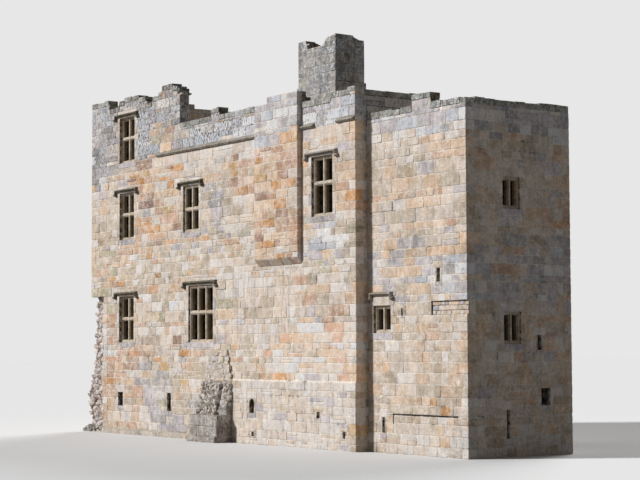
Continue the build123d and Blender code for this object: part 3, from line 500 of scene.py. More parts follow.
# Courses: the walls are built in uneven beds of about one height, cut round openings,
# with joints that break over those below and a few taller stones across two beds.
COURSE = 0.285
LEAST_STONE, LEAST_BED = 0.05, 0.035
NARROWEST, LEAST_REST, NARROW_PACKING = 0.16, 0.15, 0.14
SAME_JOINT, JOINT_SHIFT = 0.05, 0.09
LOWEST_SPLIT = 0.2
NEARLY = 1e-6
CREST_STEP = 0.001
WALL_WALK = 10.2
Block = namedtuple("Block", "start end low high")


def course_levels(marks, height, dice):
    """Bed joints between fixed levels, with courses of about one height."""
    levels = [marks[0]]
    for low, high in pairwise(marks):
        parts = [dice.uniform(0.66, 1.36) for _ in range(max(1, round((high - low) / height)))]
        for part in parts:
            levels.append(levels[-1] + (high - low) * part / sum(parts))
    return levels


def free_strips(start, end, low, high, blocked):
    """What is left of a course round the openings and the stones already set."""
    near = [b for b in blocked if b.start < end and b.end > start and b.low < high and b.high > low]
    marks = sorted({start, end} | {m for b in near for m in (b.start, b.end) if start < m < end})
    strips = []
    for a, b in pairwise(marks):
        heights = [(low, high)]
        for taken in near:
            if taken.start < (a + b) / 2 < taken.end:
                heights = [
                    part
                    for bottom, top in heights
                    for part in ((bottom, min(top, taken.low)), (max(bottom, taken.high), top))
                    if part[1] - part[0] > LEAST_BED
                ]
        for bottom, top in heights:
            meets = [s for s in strips if all(abs(p - q) < NEARLY for p, q in zip(s[1:], (a, bottom, top)))]
            if meets:
                meets[0][1] = b
            else:
                strips.append([a, b, bottom, top])
    return [s for s in strips if s[1] - s[0] > LEAST_STONE]


def crest_at(crest, along):
    """Height of a broken wall top, given as points along the wall."""
    for (a, low), (b, high) in pairwise(crest):
        if a <= along <= b:
            return low + (high - low) * (along - a) / max(b - a, NEARLY)
    return crest[-1][1]


def stepped(start, *treads):
    """A wall top of level treads, each given by its end and its height."""
    crest = []
    for end, level in treads:
        crest += [(start, level), (end, level)]
        start = end + CREST_STEP
    return crest


def risen(crest, start=0.0, end=1.0):
    """A wall top given as shares of a length and rises over the wall walk, laid between two places."""
    return [(start + (end - start) * share, WALL_WALK + rise) for share, rise in crest]


def bedded(start, end, low, high, front, back, look, gap=JOINT / 2):
    """A stone with its half of each joint taken off. Its look is its tone and growth."""
    return Stone(start + gap, end - gap, low + gap, high - gap, front, back, *look)


def course_wall(
    start, end, levels, blocked, tone, dice, crest=None, longest=3.9, big=0.0, proud=0.0, split=0.08
):
    """Stones for a whole face, course by course, round what is blocked and under the crest."""
    stones = []
    blocked = list(blocked)

    def add(a, b, low, high):
        """One stone, unless the crest leaves too little of it."""
        if crest:
            high = min(high, crest_at(crest, (a + b) / 2))
        if high - low < LEAST_STONE or b - a < LEAST_STONE:
            return
        look = tone((a + b) / 2, (low + high) / 2, dice)
        front = proud + dice.uniform(0.003, 0.01) + max(0.0, dice.gauss(0, 0.005))
        stones.append(bedded(a, b, low, high, front, proud - BEDDED, look))

    for _ in range(int(big * (end - start) * (levels[-1] - levels[0]))):
        rows = dice.choice((2, 2, 3))
        row = dice.randrange(max(1, len(levels) - rows))
        a = dice.uniform(start + 0.4, end - 1.2)
        b = a + dice.uniform(0.35, 0.62) * dice.choice((1, 1, 2, 4))
        low, high = levels[row], levels[min(row + rows, len(levels) - 1)]
        if crest and crest_at(crest, a) < high or b > end - 0.4:
            continue
        if any(b >= t.start and a <= t.end and high >= t.low and low <= t.high for t in blocked):
            continue
        blocked.append(Block(a, b, low, high))
        if b - a < 0.65 and rows == 2:
            add(a, b, low, high)
            continue
        height = (high - low) / (rows + dice.choice((-1, 1)))
        for bottom, top in pairwise(course_levels([low, high], height, dice)):
            x = a
            while x < b - NEARLY:
                width = max(NARROW_PACKING, (top - bottom) * dice.uniform(0.9, 2.0))
                width = b - x if b - x - width < NARROW_PACKING else width
                add(x, x + width, bottom, top)
                x += width
    earlier = []
    for low, high in pairwise(levels):
        joints = []
        for x, b, bottom, top in free_strips(start, end, low, high, blocked):
            while x < b - NEARLY:
                width = max(NARROWEST, (high - low) * dice.triangular(0.85, longest, 1.9))
                if any(abs(x + width - joint) < SAME_JOINT for joint in earlier):
                    width += JOINT_SHIFT
                if b - x - width < LEAST_REST:
                    width = b - x
                beds = [bottom, top]
                if top - bottom > LOWEST_SPLIT and dice.random() < split:
                    beds.insert(1, bottom + (top - bottom) * dice.uniform(0.4, 0.6))
                for under, over in pairwise(beds):
                    add(x, x + width, under, over)
                x += width
                joints.append(x)
        earlier = joints
    return stones


# Colours of the stones: each quarry bed has its own, from cream and peach to orange,
# mauve and grey, and they change from patch to patch as the wall was built and mended.
CREAM, PALE_CREAM, BUFF = (230, 214, 199), (238, 229, 221), (214, 197, 177)
OCHRE, SALMON, ORANGE, PEACH = (220, 184, 138), (220, 182, 157), (222, 170, 120), (232, 203, 176)
GREY, LILAC, BLUISH = (189, 183, 182), (209, 200, 202), (204, 207, 214)
OLIVE, BRICK, WHITE = (206, 196, 170), (184, 150, 130), (242, 240, 240)
PALETTES = {
    "mixed": [CREAM] * 4 + [PALE_CREAM] * 4 + [BUFF] * 4 + [PEACH] * 3
    + [SALMON, ORANGE, OCHRE, GREY, LILAC, LILAC, OLIVE],
    "peach": [PEACH] * 3 + [ORANGE, SALMON, CREAM, CREAM, PALE_CREAM, LILAC],
    "patched": [PEACH] * 4 + [SALMON] * 2 + [CREAM] * 2 + [WHITE] * 5 + [PALE_CREAM] * 2 + [ORANGE],
    "salmon": [SALMON] * 4 + [PEACH] * 4 + [CREAM, ORANGE, WHITE, PALE_CREAM],
    "orange": [ORANGE] * 5 + [PEACH] * 3 + [SALMON] * 3 + [OCHRE, BRICK, CREAM, PALE_CREAM],
    "wing": [CREAM] * 4 + [BUFF] * 3 + [PEACH] * 4 + [PALE_CREAM, LILAC, SALMON, ORANGE],
    "beige": [CREAM] * 4 + [LILAC] * 2 + [PALE_CREAM] * 2 + [BUFF],
    "foot": [CREAM] * 3 + [PALE_CREAM] * 4 + [LILAC] * 2 + [BUFF],
    "white": [WHITE] + [PALE_CREAM] * 4 + [CREAM],
    "dressed": [BUFF] * 2 + [CREAM] * 2 + [PALE_CREAM] * 2 + [LILAC],
    "quiet": [GREY] * 3 + [LILAC] * 4 + [BUFF] * 2 + [CREAM],
    "lilac": [LILAC] * 5 + [GREY] * 2 + [PALE_CREAM],
    "blue": [BLUISH] * 4 + [LILAC, GREY, WHITE],
    "lichened": [BLUISH] * 4 + [LILAC] * 2 + [WHITE] * 2 + [GREY, PALE_CREAM],
    "tower": [LILAC] * 3 + [GREY] * 3 + [BLUISH] * 3 + [PALE_CREAM, PEACH],
    "sill": [GREY] * 3 + [LILAC] * 2,
    "stack": [(190, 190, 191), (200, 200, 201), (180, 180, 182), (194, 190, 184)],
    "capped": [(132, 130, 122), (150, 149, 144), (116, 114, 106), (164, 163, 160)],
    "coping": [(172, 172, 168), (158, 158, 150), (186, 187, 188), (148, 147, 138)],
    "pier": [(178, 172, 166), (192, 186, 180), (168, 162, 154), (186, 176, 166)],
}
PALEST = 0.88
Zone = namedtuple("Zone", "start end low high palette growth light", defaults=(1.0,))


def zoned_tone(zones, other, growth):
    """A chooser of stone colours: a palette by place on the face, with soft borders."""

    def choose(along, up, dice):
        """The tone and growth of one stone, a little warmer or cooler from patch to patch."""
        a, v = along + dice.gauss(0, 0.3), up + dice.gauss(0, 0.16)
        zone = next((z for z in zones if z.start < a < z.end and z.low < v < z.high), None)
        palette = PALETTES[zone.palette if zone and dice.random() < 0.985 else other]
        warmth = 38 + 26 * math.sin(1.7 * along + 0.8 * up) * math.cos(2.3 * up - 0.6 * along)
        shade = paint(*min(dice.choices(palette, k=2), key=lambda c: abs(c[0] - c[2] - warmth)))
        light = min(dice.gauss(zone.light if zone else 0.97, 0.075), PALEST / max(shade))
        lichen, crust, streaks = zone.growth if zone else growth
        grown = (lichen * dice.uniform(0.7, 1.2), crust * dice.uniform(0.88, 1.04), streaks)
        return tuple(c * light for c in shade), grown

    return choose


# Dressed stone: jambs, lintels and sills round the openings, and quoins that show on
# two faces, long and short by turns. They are cut smoother and reach into the wall.
QUOIN_PROUD, DRESSED_PROUD = 0.013, 0.012
FRAME_REBATE, LIP = 0.02, 0.006
JAMB_LONG, JAMB_SHORT = 0.3, 0.17
SILL_TALL, SILL_BEARING = 0.2, 0.1
LINTEL_TALL, LINTEL_BEARING = 0.26, 0.16
LOOP_RECESS = 0.05
Window = namedtuple("Window", "along sill width height recess", defaults=(LOOP_RECESS,))
Corner = namedtuple("Corner", "along at_end lengths foot top", defaults=(0.0, 99))
dressed_tone = zoned_tone([], "dressed", (0.1, 0.15, 0.35))
sill_tone = zoned_tone([], "sill", (0.3, 0.3, 0.6))


def surround(window, levels, dice, proud):
    """Dressed stones round an opening, and what they block: jambs by turns, lintel and sill."""
    a, b = window.along - window.width / 2, window.along + window.width / 2
    low, high = window.sill, window.sill + window.height
    front, back = proud + DRESSED_PROUD, proud - window.recess - FRAME_REBATE
    gap = JOINT / 3
    stones = []

    def add(start, end, bottom, top, tone=dressed_tone):
        """One dressed stone that reaches in to the frame."""
        look = tone((start + end) / 2, (bottom + top) / 2, dice)
        stones.append(bedded(start, end, bottom, top, front, back, look, gap))

    sill_foot = low - min(SILL_TALL, window.height / 3)
    add(a - SILL_BEARING, b + SILL_BEARING, sill_foot, low + LIP, sill_tone)
    beds = [low] + [level for level in levels if low + 0.1 < level < high - 0.1] + [high]
    share = min(1.0, window.width / 0.6)
    for row, (bottom, top) in enumerate(pairwise(beds)):
        left, right = (JAMB_SHORT, JAMB_LONG) if row % 2 else (JAMB_LONG, JAMB_SHORT)
        add(a - left * share, a + LIP, bottom, top)
        add(b - LIP, b + right * share, bottom, top)
    joints = [a - LINTEL_BEARING, b + LINTEL_BEARING]
    if window.width > 1:
        joints.insert(1, window.along + dice.uniform(-0.2, 0.2))
    for start, end in pairwise(joints):
        add(start, end, high - LIP, high + min(LINTEL_TALL, window.height / 2))
    around = [Block(s.start - gap, s.end + gap, s.low - gap, s.high + gap) for s in stones]
    return stones, around + [Block(a, b, low, high)]


def quoin_lengths(levels, dice, walk=WALL_WALK):
    """Lengths of the corner stones on the two faces, short on the side above the wall walk."""
    lengths = []
    for row, level in enumerate(levels[:-1]):
        on_face, on_side = (dice.uniform(0.5, 0.68), dice.uniform(0.26, 0.33))[:: 1 if row % 2 else -1]
        lengths.append((on_face, min(on_side, 0.33) if level > walk - 0.3 else on_side))
    return lengths


def quoins(levels, corner, tone, dice, proud, crest):
    """Corner stones, for the face that carries them, and what they block."""
    stones, blocked = [], []
    for (low, high), (on_face, on_side) in zip(pairwise(levels), corner.lengths):
        high = min(high, corner.top, crest_at(crest, corner.along) if crest else high)
        if low < corner.foot - 0.01 or high - low < 0.06:
            continue
        start, end = (-on_face, QUOIN_PROUD) if corner.at_end else (-QUOIN_PROUD, on_face)
        start, end = corner.along + start, corner.along + end
        look = tone(corner.along, (low + high) / 2, dice)
        stone = bedded(start, end, low, high, proud + QUOIN_PROUD, -on_side, look)
        stones.append(stone._replace(end=end) if corner.at_end else stone._replace(start=start))
        blocked.append(Block(start, end, low, high))
    return stones, blocked


# Coping: worn slabs lie along every broken wall top, each as deep as the wall is thick
# and dark with crust. The courses end under them.
CAP_THICK, CAP_JOINT = 0.15, 0.006
cap_tone = zoned_tone([], "capped", (0.55, 0.6, 0.3))
coping_tone = zoned_tone([], "coping", (0.6, 0.6, 0.3))


def capped(crest):
    """The top of the courses, under the coping stones."""
    return [(along, level - CAP_THICK) for along, level in crest]


def cap_stones(name, place, crest, thick, seed, tone=coping_tone):
    """Coping stones along a wall top."""
    dice = random.Random(seed)
    stones = []
    for (a, low), (b, high) in pairwise(crest):
        x = a
        while b - x > 0.08:
            end = min(b, x + dice.uniform(0.3, 0.8))
            end = b if b - end < 0.16 else end
            level = low + (high - low) * ((x + end) / 2 - a) / (b - a)
            look = tone((x + end) / 2, level, dice)
            foot, top = level - CAP_THICK + CAP_JOINT, level + dice.uniform(0.012, 0.07)
            front, back = dice.uniform(0.012, 0.03), -thick - dice.uniform(0.012, 0.025)
            stones.append(Stone(x + CAP_JOINT, end - CAP_JOINT, foot, top, front, back, *look))
            x = end
    lay_stones(name, stones, place, 0.035, through_block)


# Front wall: three storeys of squared stone on mortar, torn away at its lower left
# corner, with the tower's front wall and the parapet above the wall walk.
MANY_STONES = 900
BACK_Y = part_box("back_wall_second_storey")[1].y
MAIN_LENGTH, MAIN_DEPTH = RIGHT_X - LEFT_X, BACK_Y - FRONT_Y
MAIN_WALL, MERLON_THICK, PARAPET_THICK = 1.05, 0.39, 0.37
FIRST_FLOOR, SECOND_FLOOR = 2.75, 6.6
BACKING_TOP, STEP_TOP = WALL_WALK + 2.15, WALL_WALK + 1.7
PARAPET_TOP, MERLON_TOP = WALL_WALK + 1.26, WALL_WALK + 1.48
TOWER_LENGTH = 6.85
TEAR_WIDTH, TEAR_TOP = 1.05, 5.29
FOOTING_TOP = 0.22
SETOFF_TOP, SETOFF_PROUD = 2.14, 0.04
PIER_START, PIER_END, PIER_TOP = 8.65, 10.44, 0.93
breast_low, breast_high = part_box("chimney_breast")
BREAST_START, BREAST_END, BREAST_FOOT = breast_low.x - LEFT_X, breast_high.x - LEFT_X, breast_low.z
STRING_FOOT, STRING_TOP = (corner.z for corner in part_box("string_course"))
UP = Vector((0, 0, 1))
ALONG = {
    "front": Vector((1, 0, 0)), "right": Vector((0, 1, 0)),
    "back": Vector((-1, 0, 0)), "left": Vector((0, -1, 0)),
}
FRONT_WINDOWS = [
    Window(2.865, 10.41, 1.19, 1.76, 0.10),
    Window(2.86, 7.43, 1.14, 1.81, 0.10),
    Window(7.645, 7.45, 1.09, 1.70, 0.06),
    Window(MAIN_LENGTH - 1.815, 7.48, 1.17, 1.95, 0.075),
    Window(2.855, 3.49, 1.15, 1.77, 0.10),
    Window(8.32, 3.46, 1.68, 2.04, 0.055),
]
FRONT_LOOPS = [Window(2.415, 1.07, 0.37, 0.52), Window(6.105, 0.96, 0.27, 0.66)]
FOOT_LOOPS = [
    Window(11.73, 1.05, 0.30, 0.48),
    Window(11.78, 0.27, 0.14, 0.15),
    Window(MAIN_LENGTH - 0.6, 0.39, 0.14, 0.22),
    Window(MAIN_LENGTH - 2.025, 0.98, 0.15, 0.21),
]
FRONT_ZONES = [
    Zone(-1, 1.3, 9.6, 13.0, "blue", (0.5, 0.7, 0.4), 0.74),
    Zone(4.9, 6.9, 10.9, 11.7, "peach", (0.4, 0.4, 0.3), 0.72),
    Zone(3.3, 5.1, 10.5, 13.0, "blue", (0.8, 0.92, 0.4), 0.8),
    Zone(-1, 6.9, 10.45, 13.1, "tower", (0.6, 0.84, 0.5), 0.77),
    Zone(6.8, 17.7, 11.2, 13.0, "tower", (0.8, 0.8, 0.3), 0.76),
    Zone(7.4, 10.0, 10.5, 13.0, "lichened", (0.9, 1.0, 0.5)),
    Zone(12.0, 17.7, 10.3, 13.0, "blue", (0.85, 0.66, 0.2)),
    Zone(6.8, 12.0, 10.5, 13.0, "lichened", (0.85, 0.9, 0.4)),
    Zone(6.8, 12.1, 9.7, 10.5, "white", (0.35, 0.1, 0.3), 0.96),
    Zone(3.2, 6.8, 9.2, 10.2, "orange", (0.05, 0.25, 0.2), 0.92),
    Zone(3.4, 6.8, 7.0, 9.2, "orange", (0.1, 0.1, 0.2), 0.95),
    Zone(1.6, 3.6, 6.2, 7.3, "salmon", (0.1, 0.1, 0.2), 0.92),
    Zone(8.3, 10.1, 7.2, 9.3, "quiet", (0.35, 0.1, 0.4), 0.9),
    Zone(10.2, 12.1, 8.4, 10.0, "orange", (0.05, 0.15, 0.3), 0.88),
    Zone(10.2, 11.4, 5.8, 8.4, "mixed", (0.1, 0.15, 0.3), 0.92),
    Zone(15.2, 16.6, 6.1, 7.5, "blue", (0.2, 0.1, 0.2), 0.98),
    Zone(16.5, 17.7, 7.2, 9.4, "orange", (0.05, 0.1, 0.2), 0.96),
    Zone(14.6, 17.7, 7.4, 10.0, "peach", (0.15, 0.1, 0.2)),
    Zone(10.3, 14.4, 3.4, 5.8, "beige", (0.3, 0.1, 0.8), 1.14),
    Zone(12.8, 17.7, 2.2, 4.1, "patched", (0.05, 0.1, 0.2), 1.3),
    Zone(10.4, 17.7, -1, 2.2, "foot", (0.3, 0.2, 0.5), 1.12),
    Zone(1.0, 4.2, 2.4, 4.4, "salmon", (0.05, 0.1, 0.1), 0.82),
    Zone(0.1, 3.85, 0.2, 2.4, "salmon", (0.05, 0.1, 0.1), 0.88),
    Zone(3.85, 6.1, -1, 2.25, "lilac", (0.3, 0.1, 0.3)),
    Zone(6.1, 8.8, -1, 1.2, "quiet", (0.25, 0.3, 0.4), 0.96),
]
TOWER_RISES = [
    (0.0, 2.74), (0.197, 2.74), (0.212, 2.4), (0.314, 2.4), (0.33, 2.56), (0.467, 2.75), (0.628, 2.5),
    (0.638, 2.3), (0.699, 2.3), (0.709, 2.4), (0.801, 2.54), (0.812, 2.78), (0.921, 2.78), (1.0, 2.5),
]
PARAPET_RISES = stepped(
    TOWER_LENGTH + CREST_STEP, (9.05, 1.26), (9.57, 1.53), (BREAST_END, 1.26), (MAIN_LENGTH - 1.31, 1.05),
    (MAIN_LENGTH - 0.4, 1.18), (MAIN_LENGTH, 1.27),
)
SINGLE_PROUD, SINGLE_GROWTH = 0.009, (0.1, 0.1, 0.2)
SINGLE_STONES = [
    (3.8, 4.95, 8.75, (152, 122, 112)), (6.35, 7.0, 3.66, (168, 138, 118)),
    (4.1, 4.7, 8.42, (186, 182, 180)), (5.62, 6.2, 8.4, (204, 176, 130)),
    (1.15, 2.5, 2.95, (214, 168, 140)), (3.05, 3.98, 2.97, (216, 166, 134)),
    (3.45, 3.95, 7.88, (216, 172, 130)), (5.05, 5.5, 5.95, (184, 146, 104)),
    (6.1, 6.8, 4.97, (236, 236, 240)), (4.1, 4.8, 5.05, (238, 236, 238)),
    (4.45, 5.3, 5.3, (220, 178, 144)), (10.8, 11.6, 7.25, (188, 182, 166)),
    (12.95, 13.6, 3.1, (240, 236, 232)), (15.4, 16.0, 2.9, (240, 236, 232)),
]


def face_of(side, x, y):
    """The frame of an upright face: x along it from its left-hand corner, y up, z out of the wall."""
    turned = Matrix((ALONG[side], UP, ALONG[side].cross(UP))).transposed().to_4x4()
    return Matrix.Translation((x, y, 0)) @ turned


def dress_face(
    name, place, length, levels, windows, tone, seed, crest=None, owned=(), given=(), blocked=(),
    through=None, singles=(), **laid,
):
    """All the stones of one face: surrounds, quoins that it owns or is given, and the courses between."""
    dice = random.Random(seed)
    proud = laid.get("proud", 0.0)
    dressed, taken = [], list(blocked)
    shaped = [(surround, (window, levels, dice, proud)) for window in windows]
    shaped += [(quoins, (levels, corner, tone, dice, proud, crest)) for corner in owned]
    for shape, wanted in shaped:
        stones, around = shape(*wanted)
        dressed += stones
        taken += around
    for at_end, lengths in given:
        for (low, high), (_, on_side) in zip(pairwise(levels), lengths):
            start, end = (length - on_side, length + 1) if at_end else (-1, on_side)
            taken.append(Block(start, end, low, high))
    for start, end, height, colour in singles:
        low, high = next(bed for bed in pairwise(levels) if bed[0] <= height < bed[1])
        taken.append(Block(start, end, low, high))
        front, back = proud + SINGLE_PROUD, proud - BEDDED
        dressed.append(bedded(start, end, low, high, front, back, (paint(*colour), SINGLE_GROWTH)))
    stones = course_wall(0, length, levels, taken, tone, dice, crest=crest, **laid)
    if through:
        dressed += [s._replace(back=-through[1]) for s in stones if s.low > through[0]]
        stones = [s for s in stones if s.low <= through[0]]
    storeys = [("lower", -1, SECOND_FLOOR), ("upper", SECOND_FLOOR, 99)]
    for storey, low, high in storeys if len(stones) > MANY_STONES else [("face", -1, 99)]:
        part = [s for s in stones if low <= (s.low + s.high) / 2 < high]
        if part:
            lay_stones(f"{name}_{storey}_stones", part, place, seed=seed)
    if dressed:
        lay_stones(f"{name}_dressed_stones", dressed, place, 0.006, through_block)


FRONT = face_of("front", LEFT_X, FRONT_Y)
KEPT_LEVELS = [
    0, FOOTING_TOP, SETOFF_TOP, FIRST_FLOOR, TEAR_TOP, SECOND_FLOOR, STRING_FOOT, STRING_TOP,
    PARAPET_TOP, 13.2,
]
LEVELS = course_levels(KEPT_LEVELS, COURSE, random.Random(11))
corner_quoins = {
    corner: quoin_lengths(LEVELS, random.Random(seed))
    for seed, corner in enumerate(("front_left", "front_right", "back_left", "back_right"), 31)
}
front_tone = zoned_tone(FRONT_ZONES, "mixed", (0.15, 0.12, 0.2))
tower_top, parapet_top = risen(TOWER_RISES, 0, TOWER_LENGTH), risen(PARAPET_RISES)
front_dice = random.Random(21)
toothing = []
taken = [
    Block(-1, TEAR_WIDTH, 0, FOOTING_TOP),
    Block(PIER_START, PIER_END, 0, PIER_TOP),
    Block(PIER_START + 0.1, PIER_END, PIER_TOP, 2.1),
    Block(PIER_START + 0.36, PIER_END - 0.24, 2.1, 3.1),
    Block(BREAST_START, BREAST_END, BREAST_FOOT, 12),
    Block(PIER_END, MAIN_LENGTH + 1, 0, SETOFF_TOP),
    Block(TEAR_WIDTH, PIER_START - 0.1, 0, 0.2),
    Block(5.2, BREAST_START - 0.08, STRING_FOOT, STRING_TOP),
    Block(BREAST_END + 0.06, BREAST_END + 0.76, STRING_FOOT, STRING_TOP),
    Block(MAIN_LENGTH - 0.95, MAIN_LENGTH, STRING_FOOT, STRING_TOP),
]
for low, high in pairwise(LEVELS):
    if FOOTING_TOP - 0.01 < low and high < TEAR_TOP + 0.01:
        reach = front_dice.uniform(0.0, 0.2)
        look = front_tone(TEAR_WIDTH, low, front_dice)
        start, end = TEAR_WIDTH - reach, TEAR_WIDTH + 0.3
        toothing.append(Stone(start, end, low + 0.006, high - 0.006, 0.012, -0.3, *look))
        taken.append(Block(-1, TEAR_WIDTH + 0.307, low, high))
dress_face(
    "front_wall", FRONT, MAIN_LENGTH, LEVELS, FRONT_WINDOWS + FRONT_LOOPS, front_tone, 21,
    crest=capped(tower_top + parapet_top),
    owned=[
        Corner(0.0, False, corner_quoins["front_left"], TEAR_TOP),
        Corner(MAIN_LENGTH, True, corner_quoins["front_right"], SETOFF_TOP),
        Corner(TOWER_LENGTH, True, corner_quoins["back_left"], PARAPET_TOP),
    ],
    blocked=taken, through=(BACKING_TOP - 0.02, MERLON_THICK), singles=SINGLE_STONES, big=0.2,
)
cap_stones("tower_front_caps", FRONT, tower_top, MERLON_THICK, 51, cap_tone)
cap_stones("front_parapet_caps", FRONT, parapet_top, PARAPET_THICK, 52)
lay_stones("torn_edge_stones", toothing, FRONT, 0.02, through_block)

# Foot of the front wall, right of the torn pier: it stands 4 cm proud up to a
# weathered set-off, with small square holes left by scaffold poles.
foot_levels = [level for level in LEVELS if level < SETOFF_TOP + 0.01]
dress_face(
    "front_foot", FRONT, MAIN_LENGTH, foot_levels, FOOT_LOOPS, front_tone, 22,
    owned=[Corner(MAIN_LENGTH, True, corner_quoins["front_right"], 0.0, SETOFF_TOP)],
    blocked=[Block(-1, PIER_END, 0, 3)], proud=SETOFF_PROUD,
)

# Chimney breast: the flue's shallow projection on a sloping foot. Its stones run the
# whole depth of the projection, so they make its sides too.
BREAST_STEP = 0.78
BREAST_SLOPE = 0.22
BREAST_PROUD = FRONT_Y - breast_low.y
BREAST_ZONES = [
    Zone(0, 99, 11.2, 12, "blue", (0.6, 0.4, 0.3)),
    Zone(0, 99, 10.2, 11.2, "lichened", (0.5, 0.35, 0.4)),
    Zone(0, 99, 6.0, 10.2, "orange", (0.15, 0.2, 0.4)),
]
breast_tone = zoned_tone(BREAST_ZONES, "mixed", (0.2, 0.2, 0.4))
breast_dice = random.Random(23)
slope_top = BREAST_FOOT + BREAST_SLOPE
breast_levels = [slope_top] + [level for level in LEVELS if slope_top + 0.12 < level]
breast_stones = course_wall(
    BREAST_START - QUOIN_PROUD, BREAST_END + QUOIN_PROUD, breast_levels, [], breast_tone, breast_dice,
    crest=stepped(BREAST_START - 1, (BREAST_START + BREAST_STEP, PARAPET_TOP), (BREAST_END + 1, MERLON_TOP)),
    proud=BREAST_PROUD,
)
breast_stones = [s._replace(back=-0.02) for s in breast_stones]
lay_stones("chimney_breast_stones", breast_stones, FRONT, block=through_block)
slope = Vector((0, -BREAST_PROUD, BREAST_SLOPE))
slope_axes = (ALONG["front"], slope.normalized(), ALONG["front"].cross(slope.normalized()))
slope_place = Matrix.Translation((LEFT_X, FRONT_Y, BREAST_FOOT)) @ Matrix(slope_axes).transposed().to_4x4()
slope_stones = course_wall(
    BREAST_START, BREAST_END, [0, slope.length], [], breast_tone, breast_dice, longest=2.0, split=0.0
)
lay_stones("chimney_breast_foot_stones", slope_stones, slope_place)

# Back and side walls of the main block. They are hidden in the photograph, so they
# repeat the front's courses, windows and weathering.
WING_SETBACK, WING_DEPTH, WING_TOP = 0.455, 4.115, 10.55
STUB_BACK, STUB_TOP = 1.65, 2.25
BACK_RISES = [
    (0.0, 1.9), (0.161, 2.15), (0.175, 2.5), (0.35, 2.55), (0.365, 2.25), (0.467, 2.3), (0.482, 2.6),
    (0.672, 2.65), (0.686, 2.4), (0.788, 2.35), (0.803, 2.7), (1.0, 2.7),
]
REAR_RISES = [
    (0.0, 1.05), (0.269, 1.05), (0.278, 1.26), (0.611, 1.2), (0.62, 0.95), (0.824, 0.9), (0.833, 1.15),
    (1.0, 1.15),
]
LEFT_RISES = [
    (0.0, 2.35), (0.162, 2.3), (0.177, 2.6), (0.362, 2.65), (0.377, 2.35), (0.5, 2.3), (0.515, 2.65),
    (0.715, 2.7), (0.731, 2.4), (0.854, 2.35), (0.869, 2.7), (1.0, 2.74),
]
RIGHT_RISES = [(0.0, 1.18), (0.271, 1.18), (0.284, 0.85), (0.551, 0.8), (0.564, 1.05), (1.0, 1.05)]
SIDE_ZONES = [
    Zone(-1, 99, 10.5, 14, "lichened", (0.65, 0.5, 0.5)),
    Zone(-1, 99, 9.3, 10.5, "tower", (0.3, 0.25, 0.4)),
    Zone(-1, 99, -1, 1.2, "foot", (0.35, 0.3, 0.5)),
]
DOOR_ALONG, DOOR_HALF, DOOR_SPRING, DOOR_RISE, RING = 5.2, 0.625, 1.5, 0.52, 0.27
TOWER_START = MAIN_LENGTH - TOWER_LENGTH
LEFT_INNER = MAIN_DEPTH - MAIN_WALL
RIGHT_INNER = MAIN_DEPTH - PARAPET_THICK
BACK, LEFT = face_of("back", RIGHT_X, BACK_Y), face_of("left", LEFT_X, BACK_Y)
RIGHT = face_of("right", RIGHT_X, FRONT_Y)
side_tone = zoned_tone(SIDE_ZONES, "mixed", (0.2, 0.2, 0.3))
arch_radius = (DOOR_HALF**2 + DOOR_RISE**2) / (2 * DOOR_RISE)
arch_middle = DOOR_SPRING + DOOR_RISE - arch_radius
door_blocks = [Block(DOOR_ALONG - DOOR_HALF, DOOR_ALONG + DOOR_HALF, 0, DOOR_SPRING)]
for low, high in pairwise(LEVELS):
    reach = (arch_radius + RING) ** 2 - (low - arch_middle) ** 2
    if high > DOOR_SPRING and reach > 0:
        start, end = DOOR_ALONG - reach**0.5, DOOR_ALONG + reach**0.5
        door_blocks.append(Block(start, end, max(low, DOOR_SPRING), high))
rear_top, back_top = risen(REAR_RISES, 0, TOWER_START), risen(BACK_RISES, TOWER_START, MAIN_LENGTH)
left_top = risen(LEFT_RISES, MAIN_WALL, LEFT_INNER)
right_top = risen(RIGHT_RISES, PARAPET_THICK, RIGHT_INNER)
dress_face(
    "back_wall", BACK, MAIN_LENGTH, LEVELS,
    [
        Window(8.6, 3.46, 1.15, 1.90, 0.09),
        Window(14.8, 3.49, 1.15, 1.77, 0.09),
        Window(8.6, 7.45, 1.10, 1.80, 0.09),
        Window(14.8, 7.45, 1.10, 1.80, 0.09),
        Window(14.8, 10.41, 1.10, 1.70, 0.09),
        Window(2.4, 1.0, 0.27, 0.6),
        Window(11.5, 1.0, 0.27, 0.6),
        Window(14.9, 1.0, 0.27, 0.6),
    ],
    side_tone, 24, crest=capped(rear_top + risen(BACK_RISES, TOWER_START + CREST_STEP, MAIN_LENGTH)),
    owned=[
        Corner(0.0, False, corner_quoins["back_right"]),
        Corner(MAIN_LENGTH, True, corner_quoins["back_left"]),
    ],
    blocked=door_blocks, big=0.3,
)
dress_face(
    "left_wall", LEFT, MAIN_DEPTH, LEVELS,
    [
        Window(MAIN_DEPTH / 2, 3.49, 1.15, 1.77, 0.09),
        Window(MAIN_DEPTH / 2, 7.45, 1.10, 1.80, 0.09),
        Window(MAIN_DEPTH / 2, 1.0, 0.27, 0.6),
    ],
    side_tone, 25,
    crest=stepped(0, (MERLON_THICK, WALL_WALK + 2.7), (MAIN_WALL, BACKING_TOP))
    + capped(risen(LEFT_RISES, MAIN_WALL + CREST_STEP, LEFT_INNER))
    + stepped(
        LEFT_INNER + CREST_STEP, (MAIN_DEPTH - MERLON_THICK, BACKING_TOP), (MAIN_DEPTH, WALL_WALK + 2.74)
    ),
    given=[(False, corner_quoins["back_left"]), (True, corner_quoins["front_left"])],
    blocked=[
        Block(LEFT_INNER, MAIN_DEPTH + 1, -1, TEAR_TOP),
        Block(MAIN_DEPTH - STUB_BACK, MAIN_DEPTH + 1, -1, STUB_TOP),
    ],
    big=0.3,
)
